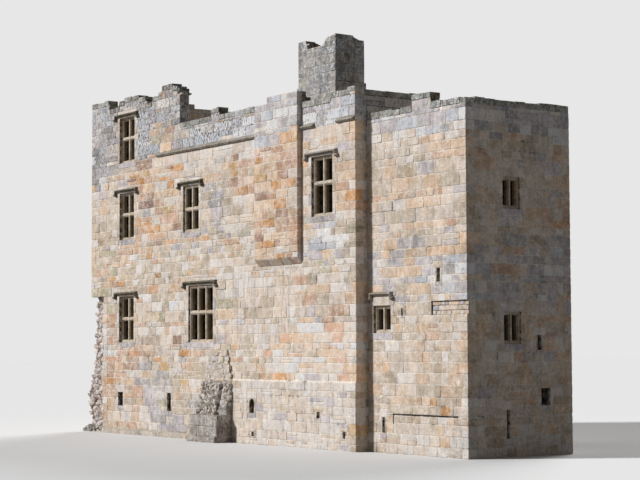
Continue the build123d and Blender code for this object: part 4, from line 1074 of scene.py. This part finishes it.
dress_face(
    "right_wall", RIGHT, MAIN_DEPTH, LEVELS, [Window(MAIN_DEPTH - 2.2, 7.7, 0.27, 0.6)], side_tone, 26,
    crest=stepped(0, (PARAPET_THICK, WALL_WALK + 1.27))
    + capped(risen(RIGHT_RISES, PARAPET_THICK + CREST_STEP, RIGHT_INNER)) + [(MAIN_DEPTH, WALL_WALK + 1.05)],
    given=[(False, corner_quoins["front_right"]), (True, corner_quoins["back_right"])],
    blocked=[Block(WING_SETBACK, WING_SETBACK + WING_DEPTH, 0, WING_TOP)], big=0.3,
)

# Ends and inner faces of the tower and the parapets: coursed like the outside, and
# seen from the wall walk down to the roofs behind them.
CROSS_AT, STEP_AT = 5.2, 6.15
CROSS_X, STEP_X, END_X = LEFT_X + CROSS_AT, LEFT_X + STEP_AT, LEFT_X + TOWER_LENGTH
INNER_FRONT, INNER_BACK = FRONT_Y + MAIN_WALL, BACK_Y - MAIN_WALL
INNER_LENGTH = 1.65
CROSS_LENGTH = MAIN_DEPTH - 2 * MAIN_WALL
BACK_MERLON = 0.66
inner_tone = zoned_tone([], "tower", (0.45, 0.4, 0.5))
below_walk = Block(-9, 99, -1, WALL_WALK)
below_step = Block(-1, 2, 0, STEP_TOP)


def mirrored(crest, length):
    """The same wall top, seen from behind."""
    return [(length - along, level) for along, level in reversed(crest)]


for name, side, x, y, length, crest, blocked in (
    (
        "tower_front_end", "right", END_X, FRONT_Y, MAIN_WALL,
        stepped(0, (MERLON_THICK, WALL_WALK + 2.5), (MAIN_WALL, STEP_TOP)),
        [Block(-1, PARAPET_THICK, 0, PARAPET_TOP)],
    ),
    (
        "tower_back_end", "right", END_X, INNER_BACK, MAIN_WALL,
        stepped(0, (BACK_MERLON, STEP_TOP), (MAIN_WALL, WALL_WALK + 1.9)), [Block(0.68, 2, 0, 11.35)],
    ),
    (
        "tower_front_step", "right", STEP_X, FRONT_Y, MAIN_WALL, stepped(0, (MAIN_WALL, BACKING_TOP)),
        [below_step, Block(-1, MERLON_THICK, 0, 99)],
    ),
    (
        "tower_back_step", "right", STEP_X, INNER_BACK, MAIN_WALL, stepped(0, (MAIN_WALL, BACKING_TOP)),
        [below_step, Block(BACK_MERLON, 2, 0, 99)],
    ),
    (
        "tower_front_inner", "back", END_X, INNER_FRONT, INNER_LENGTH,
        stepped(0, (0.7, STEP_TOP), (INNER_LENGTH, BACKING_TOP)), [],
    ),
    (
        "tower_back_inner", "front", CROSS_X, INNER_BACK, INNER_LENGTH,
        stepped(0, (0.95, BACKING_TOP), (INNER_LENGTH, STEP_TOP)), [],
    ),
    (
        "tower_cross_wall", "right", CROSS_X, INNER_FRONT, CROSS_LENGTH,
        stepped(0, (CROSS_LENGTH, BACKING_TOP)), [Block(2.82, 3.68, 0, WALL_WALK + 1.95)],
    ),
    (
        "front_parapet_inner", "back", RIGHT_X, FRONT_Y + PARAPET_THICK, TOWER_START,
        capped(mirrored(parapet_top, MAIN_LENGTH)), [],
    ),
    (
        "rear_parapet_inner", "front", END_X, BACK_Y - PARAPET_THICK, TOWER_START,
        capped(mirrored(rear_top, TOWER_START)), [],
    ),
    (
        "right_parapet_inner", "left", RIGHT_X - PARAPET_THICK, BACK_Y, MAIN_DEPTH,
        capped(mirrored(right_top, MAIN_DEPTH)), [],
    ),
):
    shared = [(False, corner_quoins["back_left"])] if name == "tower_front_end" else []
    dress_face(
        name, face_of(side, x, y), length, LEVELS, [], inner_tone, 61, crest=crest, given=shared,
        blocked=[below_walk] + blocked,
    )
cap_stones("tower_back_caps", BACK, back_top, MERLON_THICK, 53, cap_tone)
cap_stones("tower_left_caps", LEFT, left_top, MERLON_THICK, 54, cap_tone)
cap_stones("rear_parapet_caps", BACK, rear_top, PARAPET_THICK, 55)
cap_stones("right_parapet_caps", RIGHT, right_top, PARAPET_THICK, 56)

# Chimney stack: courses of larger squared stone round the flues, with a broken top.
# It stands on a base that is 4 cm wider all round.
STACK_START, STACK_END = 13.65, 15.78
STACK_Y, STACK_DEPTH, STACK_BASE_TOP = FRONT_Y + 0.6, 1.17, 11.95
STACK_LEVELS = [STACK_BASE_TOP, 12.28, 12.55, 12.87, 13.12, 13.32, 13.52]
BASE_LEVELS = [WALL_WALK, 10.5, 10.85, 11.2, 11.6, STACK_BASE_TOP]
BASE_PROUD = 0.04
STACK_ZONES = [
    Zone(-9, 99, 13.1, 14, "stack", (0.75, 0.6, 0.3), 0.6),
    Zone(-9, 99, 0, 13.1, "stack", (0.5, 0.4, 0.6), 0.67),
]
stack_front_top = [(0, 13.5), (0.426, 13.5), (0.532, 13.2), (1.42, 13.2), (1.597, 13.4), (2.13, 13.5)]
STACK_TOPS = {
    "front": stack_front_top,
    "right": [(0, 13.5), (0.585, 13.5), (STACK_DEPTH, 13.3)],
    "back": [(along, level - 0.2) for along, level in mirrored(stack_front_top, 2.13)],
    "left": [(0, 13.3), (0.585, 13.5), (STACK_DEPTH, 13.5)],
}
stack_tone = zoned_tone(STACK_ZONES, "stack", (0.3, 0.3, 0.6))


def box_faces(x0, x1, y0, y1):
    """The four upright faces of a box: their frames and lengths."""
    corners = {"front": (x0, y0), "right": (x1, y0), "back": (x1, y1), "left": (x0, y1)}
    return {
        side: (face_of(side, *corner), x1 - x0 if side in ("front", "back") else y1 - y0)
        for side, corner in corners.items()
    }


x0, x1, y0, y1 = LEFT_X + STACK_START, LEFT_X + STACK_END, STACK_Y, STACK_Y + STACK_DEPTH
stack_faces = box_faces(x0, x1, y0, y1)
base_faces = box_faces(x0 - BASE_PROUD, x1 + BASE_PROUD, y0 - BASE_PROUD, y1 + BASE_PROUD)
for seed, (side, crest) in enumerate(STACK_TOPS.items(), 71):
    dress_face(
        f"chimney_stack_{side}", *stack_faces[side], STACK_LEVELS, [], stack_tone, seed, crest=crest,
        longest=2.2, split=0.0,
    )
    dress_face(
        f"chimney_base_{side}", *base_faces[side], BASE_LEVELS, [], stack_tone, seed + 4,
        longest=2.2, split=0.0,
    )

# Wing: longer, more even blocks in higher courses, with small two-light windows,
# narrow loops, a groove where a roof met the wall, and a torn strip at the corner.
WING_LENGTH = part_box("wing_front_wall_lower")[1].x - RIGHT_X
WING_X, WING_Y = RIGHT_X + WING_LENGTH, FRONT_Y + WING_SETBACK
WING_BACK_Y = WING_Y + WING_DEPTH
WING_COURSE = 0.3
WING_ROOF, WING_MERLON_TOP = 9.9, 10.9
WING_PARAPET = 0.35
GROOVE_FOOT, GROOVE_TOP = 1.17, 1.225
TORN_LOW, TORN_HIGH, TORN_SUNK = 4.2, 4.62, 0.06
WING_TEAR = Block(WING_LENGTH - 1.66, WING_LENGTH + 1, TORN_LOW, TORN_HIGH)
GROOVE_BLOCKS = [Block(1.25, 4.35, GROOVE_FOOT, GROOVE_TOP), Block(1.25, 1.305, 0.9, GROOVE_FOOT)]
WING_LEVELS = course_levels(
    [0, GROOVE_FOOT, GROOVE_TOP, TORN_LOW, TORN_HIGH, SECOND_FLOOR, WING_ROOF, WING_TOP], WING_COURSE,
    random.Random(12),
)
WING_ZONES = [
    Zone(-1, 99, 9.6, 11, "lichened", (0.6, 0.4, 0.4)),
    Zone(2.4, 4.9, 4.6, 6.1, "blue", (0.3, 0.2, 0.4)),
    Zone(-1, 1.9, 4.4, 6.4, "tower", (0.2, 0.15, 0.4)),
    Zone(-1, 99, -1, 0.5, "foot", (0.3, 0.3, 0.4)),
]
wing_tone = zoned_tone(WING_ZONES, "wing", (0.15, 0.1, 0.3))
front_quoins, back_quoins = (quoin_lengths(WING_LEVELS, random.Random(seed), WING_ROOF) for seed in (41, 42))
wing_front_top = stepped(0, (2.3, WING_TOP), (3.2, WING_MERLON_TOP), (WING_LENGTH, WING_TOP))
wing_side_top, wing_back_top = stepped(0, (WING_DEPTH, WING_TOP)), stepped(0, (WING_LENGTH, WING_TOP))
wing_front, wing_side = face_of("front", RIGHT_X, WING_Y), face_of("right", WING_X, WING_Y)
wing_back = face_of("back", WING_X, WING_BACK_Y)
dress_face(
    "wing_front", wing_front, WING_LENGTH, WING_LEVELS + [WING_MERLON_TOP],
    [
        Window(0.74, 3.69, 0.88, 0.85, 0.07),
        Window(3.5, 5.19, 0.16, 0.41),
        Window(0.79, 0.62, 0.12, 0.48),
        Window(1.74, 4.21, 0.1, 0.22),
    ],
    wing_tone, 27, crest=capped(wing_front_top),
    owned=[
        Corner(WING_LENGTH, True, front_quoins, 0.0, TORN_LOW + 0.01),
        Corner(WING_LENGTH, True, front_quoins, TORN_HIGH - 0.01),
    ],
    blocked=GROOVE_BLOCKS + [WING_TEAR], longest=2.9, split=0.03,
)
tear_levels = [TORN_LOW, 4.33, 4.48, TORN_HIGH]
tear_stones = course_wall(
    WING_TEAR.start, WING_LENGTH + 0.01, tear_levels, [], wing_tone, random.Random(28), proud=-TORN_SUNK
)
lay_stones("wing_torn_strip_stones", tear_stones, wing_front, wobble=0.03)
dress_face(
    "wing_side", wing_side, WING_DEPTH, WING_LEVELS,
    [
        Window(1.745, 3.33, 0.68, 0.96, 0.07),
        Window(1.745, 7.35, 0.68, 0.96, 0.07),
        Window(1.535, 0.54, 0.11, 0.85),
        Window(2.81, 3.15, 0.15, 0.45),
        Window(3.04, 1.5, 0.36, 0.51),
    ],
    wing_tone, 29, crest=capped(wing_side_top), given=[(False, front_quoins), (True, back_quoins)],
    longest=2.7, split=0.04,
)
loop_sizes = ((1.0, 0.16), (3.6, 0.2), (7.6, 0.2))
wing_back_loops = [Window(WING_LENGTH / 2, sill, width, 0.6) for sill, width in loop_sizes]
dress_face(
    "wing_back", wing_back, WING_LENGTH, WING_LEVELS, wing_back_loops, wing_tone, 30,
    crest=capped(wing_back_top), owned=[Corner(0.0, False, back_quoins)], longest=2.7, split=0.04,
)

# Wing parapet: the inner faces that rise from the wing's roof, and the coping stones.
for seed, (name, side, x, y, crest) in enumerate(
    (
        ("wing_front", "back", WING_X, WING_Y + WING_PARAPET, mirrored(wing_front_top, WING_LENGTH)),
        ("wing_side", "left", WING_X - WING_PARAPET, WING_BACK_Y, wing_side_top),
        ("wing_back", "front", RIGHT_X, WING_BACK_Y - WING_PARAPET, wing_back_top),
    ),
    81,
):
    levels = [WING_ROOF, 10.2, WING_TOP, WING_MERLON_TOP]
    length = WING_DEPTH if name == "wing_side" else WING_LENGTH
    place = face_of(side, x, y)
    dress_face(f"{name}_parapet_inner", place, length, levels, [], inner_tone, seed, crest=capped(crest))
between = [(WING_PARAPET, WING_TOP), (WING_DEPTH - WING_PARAPET, WING_TOP)]
cap_stones("wing_front_caps", wing_front, wing_front_top, WING_PARAPET, 84)
cap_stones("wing_side_caps", wing_side, between, WING_PARAPET, 85)
cap_stones("wing_back_caps", wing_back, wing_back_top, WING_PARAPET, 86)

# Stump of the torn wall: weathered grey facing on three sides and a worn flat top, on
# a low base, with a shoulder against the wall.
PIER_PROUD, PIER_BASE_TOP, PIER_BASE_PROUD = 0.65, 0.2, 0.09
SHOULDER_TOP, SHOULDER_WIDTH, SHOULDER_PROUD = 1.33, 0.56, 0.25
PIER_GROWTH = (0.45, 0.55, 0.5)
pier_tone = zoned_tone([Zone(-9, 99, -1, 9, "pier", PIER_GROWTH, 0.9)], "pier", PIER_GROWTH)
for seed, (name, start, proud, levels) in enumerate(
    (
        ("pier", PIER_START, PIER_PROUD, [PIER_BASE_TOP, 0.56, PIER_TOP]),
        ("pier_base", PIER_START - PIER_BASE_PROUD, PIER_PROUD + PIER_BASE_PROUD, [0, PIER_BASE_TOP]),
        ("pier_shoulder", PIER_END - SHOULDER_WIDTH, SHOULDER_PROUD, [PIER_TOP, 1.14, SHOULDER_TOP]),
    ),
    91,
):
    faces = box_faces(LEFT_X + start, LEFT_X + PIER_END, FRONT_Y - proud, FRONT_Y)
    for side in ("front", "right", "left"):
        dress_face(f"{name}_{side}", *faces[side], levels, [], pier_tone, seed, split=0.0)
    rows = [0, proud / 2, proud] if proud > SHOULDER_PROUD else [0, proud]
    flat = course_wall(0, PIER_END - start, rows, [], pier_tone, random.Random(seed))
    lay_stones(f"{name}_top", flat, Matrix.Translation((LEFT_X + start, FRONT_Y - proud, levels[-1])))

# Scar above the stump, where the torn wall was bonded in: small rough stones, narrower
# towards the top.
SCAR_LEFT = [(2.03, PIER_START + 0.09), (2.65, PIER_START + 0.23), (3.2, PIER_START + 0.44)]
SCAR_RIGHT = [(2.03, PIER_END), (2.65, PIER_END - 0.14), (3.2, PIER_END - 0.28)]
scar_dice = random.Random(94)
scar_tone = zoned_tone([], "beige", (0.2, 0.3, 0.3))
scar_stones = []
for low, high in pairwise(course_levels([SCAR_LEFT[0][0], SCAR_LEFT[-1][0]], 0.17, scar_dice)):
    left = crest_at(SCAR_LEFT, (low + high) / 2) + scar_dice.uniform(-0.12, 0.05)
    right = crest_at(SCAR_RIGHT, (low + high) / 2) + scar_dice.uniform(-0.05, 0.1)
    row = course_wall(left, right, [low, high], [], scar_tone, scar_dice, longest=2.4, proud=0.055, split=0.4)
    for s in row:
        shift = scar_dice.uniform(-0.035, 0.035)
        front = s.front + scar_dice.uniform(-0.01, 0.03)
        scar_stones.append(s._replace(front=front, low=s.low + shift, high=s.high + shift))
lay_stones("wall_scar_stones", scar_stones, FRONT, 0.09, tilt=0.1)

# Rubble hearting in the torn corner, its footing and the stump's core: broken stones
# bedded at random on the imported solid, large ones first and small ones between.
PIER_CORE_TOP = 2.08
rubble = bpy.data.node_groups.new("bedded_rubble", "GeometryNodeTree")
outside(rubble, "INPUT", Surface="Geometry", Rock="Object", Spacing="Float", Size="Float", Seed="Int")
outside(rubble, "INPUT", Pale="Color", Dark="Color", Growth="Vector", Finish="Material")
outside(rubble, "OUTPUT", Rubble="Geometry")
given = rubble.nodes.new("NodeGroupInput").outputs


def random_vector(low, high, seed):
    """A different vector for each rock."""
    made = add_node(rubble, "FunctionNodeRandomValue", {"data_type": "FLOAT_VECTOR"}, Seed=seed)
    made.inputs[0].default_value, made.inputs[1].default_value = low, high
    return made.outputs[0]


def broken_heap(rocks):
    """Rocks with broken faces, none of them below the ground."""
    rocks = roughened(rocks, 7.0, scaled(given["Size"], 0.5))
    spot = add_node(rubble, "GeometryNodeInputPosition").outputs[0]
    spot = add_node(rubble, "ShaderNodeSeparateXYZ", Vector=spot).outputs
    above = sums("MAXIMUM", spot[2], 0.0)
    grounded = add_node(rubble, "ShaderNodeCombineXYZ", X=spot[0], Y=spot[1], Z=above).outputs[0]
    return moved(rocks, Position=grounded)


beds = add_node(
    rubble, "GeometryNodeDistributePointsOnFaces", {"distribute_method": "POISSON"}, Mesh=given["Surface"],
    Distance_Min=given["Spacing"], Density_Max=900.0, Seed=given["Seed"],
).outputs
rocks = moved(beds["Points"], Offset=vectors("SCALE", beds["Normal"], scaled(given["Size"], -0.35)))
chance = add_node(rubble, "FunctionNodeRandomValue", {"data_type": "FLOAT"}, Seed=7).outputs[1]
tone = blended("MIX", chance, given["Dark"], given["Pale"])
for name, value in (("tone", tone), ("growth", given["Growth"])):
    settings = {"data_type": "FLOAT_VECTOR", "domain": "POINT"}
    stored = {"Geometry": rocks, "Name": name, "Value": value}
    rocks = add_node(rubble, "GeometryNodeStoreNamedAttribute", settings, **stored).outputs[0]
sizes = vectors("SCALE", random_vector((0.8, 0.65, 0.5), (1.35, 1.05, 0.9), 4), given["Size"])
turns = random_vector((-0.35, -0.35, 0), (0.35, 0.35, 6.28), 3)
set_and_finish(rocks, given["Rock"], turns, sizes, broken_heap, False, given["Finish"], "Rubble")
rock_dice = random.Random(5)
rock_points = [point for point in product((-1, 0, 1), repeat=3) if any(point)]
rock_faces = []
for axis in range(3):
    across, upwards = (axis + 1) % 3, (axis + 2) % 3
    for side in (-1, 1):
        for a, b in product((-1, 0), repeat=2):
            corners = []
            for along, over in ((0, 0), (1, 0), (1, 1), (0, 1)):
                corner = [0, 0, 0]
                corner[axis], corner[across], corner[upwards] = side, a + along, b + over
                corners.append(rock_points.index(tuple(corner)))
            rock_faces.append(corners if side > 0 else corners[::-1])
worn_points = [
    Vector(p) * (0.45 + 0.55 / Vector(p).length) * rock_dice.uniform(0.8, 1.1) for p in rock_points
]
rock_mesh = bpy.data.meshes.new("broken_rock")
rock_mesh.from_pydata(worn_points, [], rock_faces)
broken_rock = bpy.data.objects.new("broken_rock", rock_mesh)
rubble_finish = stone_material("rubble_stone", None, relief=1.3)
hearting_finish = stone_material("hearting_mortar", paint(224, 211, 198), 0.2, 0.1, 0.2, 2.0)


def open_air(face):
    """Whether a face is neither against a wall nor underneath."""
    return face.normal.y < 0.5 and face.normal.x < 0.5 and face.normal.z > -0.5


def corner_air(face):
    """Open faces of the torn corner, and those that look back from beyond the left wall."""
    return open_air(face) or face.normal.y > 0.5 and face.center.x < LEFT_X


def pier_air(face):
    """Open faces of the stump's core."""
    return face.normal.y < 0.5 and face.normal.z > -0.5 and face.center.z < PIER_CORE_TOP


def refinish(node, *finishes):
    """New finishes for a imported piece, which keeps its mesh."""
    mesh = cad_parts[node].data
    mesh.materials.clear()
    for finish in finishes:
        mesh.materials.append(finish)
    return mesh


OPEN_FACES = {"torn_corner": corner_air, "torn_footing": open_air, "pier_rubble": pier_air}
for name, node, spacing, size, pale, dark, growth in (
    ("torn_corner_stones", "torn_corner", 0.2, 0.15, (244, 234, 231), (220, 206, 199), (0.3, 0.2, 0.2)),
    ("torn_corner_rubble", "torn_corner", 0.14, 0.08, (232, 216, 206), (190, 172, 158), (0.2, 0.2, 0.2)),
    ("torn_footing_stones", "torn_footing", 0.24, 0.16, (212, 202, 190), (168, 156, 140), (0.6, 0.4, 0.3)),
    ("pier_core_stones", "pier_rubble", 0.19, 0.135, (230, 222, 216), (190, 180, 172), (0.5, 0.4, 0.3)),
    ("pier_core_rubble", "pier_rubble", 0.13, 0.07, (216, 204, 192), (160, 148, 134), (0.3, 0.3, 0.3)),
):
    source = refinish(node, hearting_finish)
    mesh = bpy.data.meshes.new(name)
    chosen = [tuple(face.vertices) for face in source.polygons if OPEN_FACES[node](face)]
    mesh.from_pydata([vertex.co for vertex in source.vertices], [], chosen)
    values = {
        "Rock": broken_rock, "Spacing": spacing, "Size": size, "Seed": len(name), "Finish": rubble_finish,
        "Pale": (*paint(*pale), 1), "Dark": (*paint(*dark), 1), "Growth": growth,
    }
    set_piece(shaped_by(rubble, mesh, name, values))

# Entrance in the back wall: an arch of eleven wedge-shaped stones over the doorway.
# Its ring is 27 cm deep, is bedded in the wall and stands a little proud of it.
RING_STONES, RING_SPREAD, RING_JOINT, RING_DEEP = 11, 1.06, 0.006, 0.12
WEDGE_SIDES = ((3, 2, 1, 0), (4, 5, 6, 7), (0, 1, 5, 4), (1, 2, 6, 5), (2, 3, 7, 6), (3, 0, 4, 7))
ring_half = math.asin(min(1.0, DOOR_HALF / arch_radius)) * RING_SPREAD
ring_inner, ring_outer = arch_radius - RING_JOINT, arch_radius + RING
arch_dice = random.Random(64)
arch_points, arch_faces, arch_looks = [], [], []
for part in range(RING_STONES):
    turn = -ring_half + 2 * ring_half * (part + 0.5) / RING_STONES
    half = ring_half / RING_STONES - RING_JOINT
    proud = 0.014 + arch_dice.uniform(0, 0.012)
    arch_faces += [tuple(len(arch_points) + i for i in corners) for corners in WEDGE_SIDES]
    for depth in (proud, -RING_DEEP):
        for radius, side in ((ring_inner, -1), (ring_inner, 1), (ring_outer, 1), (ring_outer, -1)):
            angle = turn + side * half
            x, y = DOOR_ALONG + radius * math.sin(angle), arch_middle + radius * math.cos(angle)
            arch_points.append((x, y, depth))
    arch_looks += [dressed_tone(0, 0, arch_dice)] * 8
arch_mesh = bpy.data.meshes.new("entrance_arch")
arch_mesh.from_pydata(arch_points, [], arch_faces)
mark(arch_mesh, "tone", flattened(tone for tone, _ in arch_looks))
mark(arch_mesh, "growth", flattened(growth for _, growth in arch_looks))
arch_mesh.transform(BACK)
arch_mesh.materials.append(wall_finish)
set_piece(in_scene("entrance_arch", arch_mesh))

# Roofs paved with worn flagstones, laid in rows between the parapets and round the
# stack and the tower's thicker walls.
FLAG_ROW = 0.55
lip, top_lip = MAIN_WALL - PARAPET_THICK, MAIN_WALL - MERLON_THICK
flag_tone = zoned_tone([], "coping", (0.3, 0.55, 0.1))
stack_from, stack_to, tower_to = (x - CROSS_AT for x in (STACK_START, STACK_END, TOWER_LENGTH))
main_gaps = [
    Block(stack_from - 0.05, stack_to + 0.05, -1, 0.78 + lip),
    Block(-1, tower_to + 0.01, -1, lip),
    Block(-1, tower_to + 0.01, MAIN_DEPTH - 2 * PARAPET_THICK - lip, 99),
]
tower_gaps = [Block(CROSS_X - LEFT_X - MERLON_THICK, 99, top_lip, MAIN_DEPTH - 2 * MERLON_THICK - top_lip)]
tower_y0, tower_y1 = FRONT_Y + MERLON_THICK, BACK_Y - MERLON_THICK
for seed, (name, x0, x1, y0, y1, height, gaps) in enumerate(
    (
        (
            "main_roof_flags", CROSS_X, RIGHT_X - PARAPET_THICK, FRONT_Y + PARAPET_THICK,
            BACK_Y - PARAPET_THICK, WALL_WALK, main_gaps,
        ),
        ("tower_roof_flags", LEFT_X + MERLON_THICK, STEP_X, tower_y0, tower_y1, BACKING_TOP, tower_gaps),
        ("tower_front_step_flags", STEP_X, END_X, tower_y0, INNER_FRONT, STEP_TOP, []),
        ("tower_back_step_flags", STEP_X, END_X, INNER_BACK, tower_y1, STEP_TOP, []),
        (
            "wing_roof_flags", RIGHT_X, WING_X - WING_PARAPET, WING_Y + WING_PARAPET,
            WING_BACK_Y - WING_PARAPET, WING_ROOF, [],
        ),
    ),
    101,
):
    rows = course_levels([0, y1 - y0], FLAG_ROW, random.Random(seed))
    flags = course_wall(0, x1 - x0, rows, gaps, flag_tone, random.Random(seed), longest=1.8, split=0.0)
    lay_stones(name, flags, Matrix.Translation((x0, y0, height)), 0.02)

# Floors inside: oak boards 20 cm wide, laid end to end on the joists with thin gaps.
WING_WALL = 0.85
BOARD_WIDE, BOARD_GAP, BOARD_THICK = 0.2, 0.003, 0.014
OAK_SHADES = [(112, 88, 64), (98, 76, 56), (124, 100, 74)]
main_room = (LEFT_X + MAIN_WALL, RIGHT_X - MAIN_WALL, INNER_FRONT, INNER_BACK)
wing_room = (RIGHT_X, WING_X - WING_WALL, WING_Y + WING_WALL, WING_BACK_Y - WING_WALL)
board_finish = stone_material("floor_oak", None, relief=0.3, film=0.0)
for seed, (name, (x0, x1, y0, y1), height) in enumerate(
    (
        ("first_floor_oak", main_room, FIRST_FLOOR),
        ("second_floor_oak", main_room, SECOND_FLOOR),
        ("wing_first_oak", wing_room, FIRST_FLOOR),
        ("wing_second_oak", wing_room, SECOND_FLOOR),
    ),
    111,
):
    dice = random.Random(seed)
    boards = []
    for row in range(int((y1 - y0) / BOARD_WIDE)):
        x = 0.0
        while x < x1 - x0 - 0.05:
            end = min(x1 - x0, x + dice.uniform(2.4, 4.6))
            look = paint(*dice.choice(OAK_SHADES)), (0, 0, 0.2)
            low = row * BOARD_WIDE
            boards.append(bedded(x, end, low, low + BOARD_WIDE, BOARD_THICK, -0.01, look, BOARD_GAP))
            x = end
    place = Matrix.Translation((x0, y0, height))
    lay_stones(name, boards, place, 0.003, tilt=0.0, finish=board_finish)

# Mortar and inner faces: the imported walls stay. Their outer faces are the pale sandy
# mortar of the joints, and their inner and set-back faces a dark brown that paints the
# shade inside the rooms and openings.
# The mortar counts as a full edge: it takes the pale smear in some patches and the painted shade of open
# joints in others.
JOINT_SMEAR_AND_SHADE = 3.0
ROOM_IN, ROOM_DEEP, FLUSH = 0.5, 0.9, 0.05
MORTARED = ("chimney_breast", "chimney_stack", "pier_stump")
mortar_finish = stone_material("lime_mortar", paint(234, 225, 212), 0.1, 0.1, 0.2, 0.6, edge=JOINT_SMEAR_AND_SHADE)
grey_mortar = stone_material("weathered_mortar", paint(186, 182, 178), 0.3, 0.4, 0.4, 0.6, edge=JOINT_SMEAR_AND_SHADE)
inner_painted_shade_finish = stone_material("inner_masonry_painted_shade", paint(112, 100, 86), 0.1, 0.2, 0.4, 1.6)
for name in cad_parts:
    if "wall" not in name and "parapet" not in name and name not in MORTARED:
        continue
    weathered = name.startswith(("tower", "chimney_stack", "pier")) or "parapet" in name
    walls = refinish(name, grey_mortar if weathered else mortar_finish, inner_painted_shade_finish)
    low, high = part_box(name)
    for face in walls.polygons:
        axis = max(range(3), key=lambda i: abs(face.normal[i]))
        outer = (low if face.normal[axis] < 0 else high)[axis]
        middle = face.center
        in_room = LEFT_X + ROOM_IN < middle.x < WING_X - ROOM_IN
        in_room = in_room and FRONT_Y + ROOM_DEEP < middle.y < BACK_Y - ROOM_DEEP
        # Faces inside the rooms, or set back from the wall's outer face, take the painted shade.
        face.material_index = int(in_room or abs(middle[axis] - outer) > FLUSH)


# Window frames: stone grids with bevelled lights, and their hood moulds, string
# course and plinth, all of moulded stone with dark lichen on what the rain reaches.
# The sides of the frame bars are darkened with painted shade.
def frame_material_with_painted_shade(name, axis):
    """Frame stone, with painted shade darkening the sides of its bars, which face along an axis."""
    made = stone_material(name, paint(205, 190, 170), 0.1, 0.1, 0.3)
    tree = made.node_tree
    normal = add_node(tree, "ShaderNodeNewGeometry").outputs["Normal"]
    side = add_node(tree, "ShaderNodeSeparateXYZ", Vector=normal).outputs[axis]
    # Painted shade: faces of the bars that point along the axis are multiplied by a dark olive brown.
    painted_side_shade = ramp_mask(sums("ABSOLUTE", side), 0.3, 0.8)
    side_shaded_colour = blended("MULTIPLY", painted_side_shade, tree.nodes["Group"].outputs["Color"], (0.5, 0.46, 0.38, 1))
    feed(tree.nodes["Principled BSDF"].inputs["Base Color"], side_shaded_colour)
    return made


frame_finish, side_frame_finish = frame_material_with_painted_shade("frame_stone", 0), frame_material_with_painted_shade("side_frame_stone", 1)
mould_finish = stone_material("moulded_stone", paint(112, 106, 90), 0.25, 0.5, 0.4, film=0.1)
washed_finish = stone_material("washed_moulding", paint(166, 158, 146), 0.3, 0.5, 0.4, film=0.2)
plinth_finish = stone_material("plinth_stone", paint(206, 194, 178), 0.2, 0.3, 0.5)
deck_finish = stone_material("deck_mortar", paint(104, 98, 88), 0.2, 0.3, 0.3)
oak_finish = stone_material("weathered_oak", paint(104, 82, 60), 0.0, 0.0, 0.3, 0.4, film=0.0)
FINISHES = {
    "left_window_frames": side_frame_finish,
    "window_frames": frame_finish,
    "hood_moulds": mould_finish,
    "string_course": washed_finish,
    "front_plinth": plinth_finish,
    "roof_deck": deck_finish,
    "floor_": oak_finish,
}
SECOND_FINISHES = {
    "wing_window_frames": (side_frame_finish, WING_X - WING_WALL),
    "front_hood_moulds": (washed_finish, LEFT_X + BREAST_END),
}
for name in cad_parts:
    finish = next((finish for part, finish in FINISHES.items() if part in name), None)
    if not finish:
        continue
    if name in SECOND_FINISHES:
        other, start = SECOND_FINISHES[name]
        for face in refinish(name, finish, other).polygons:
            face.material_index = int(face.center.x > start)
    else:
        refinish(name, finish)

# The object is complete. Its box is measured.
low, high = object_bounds()
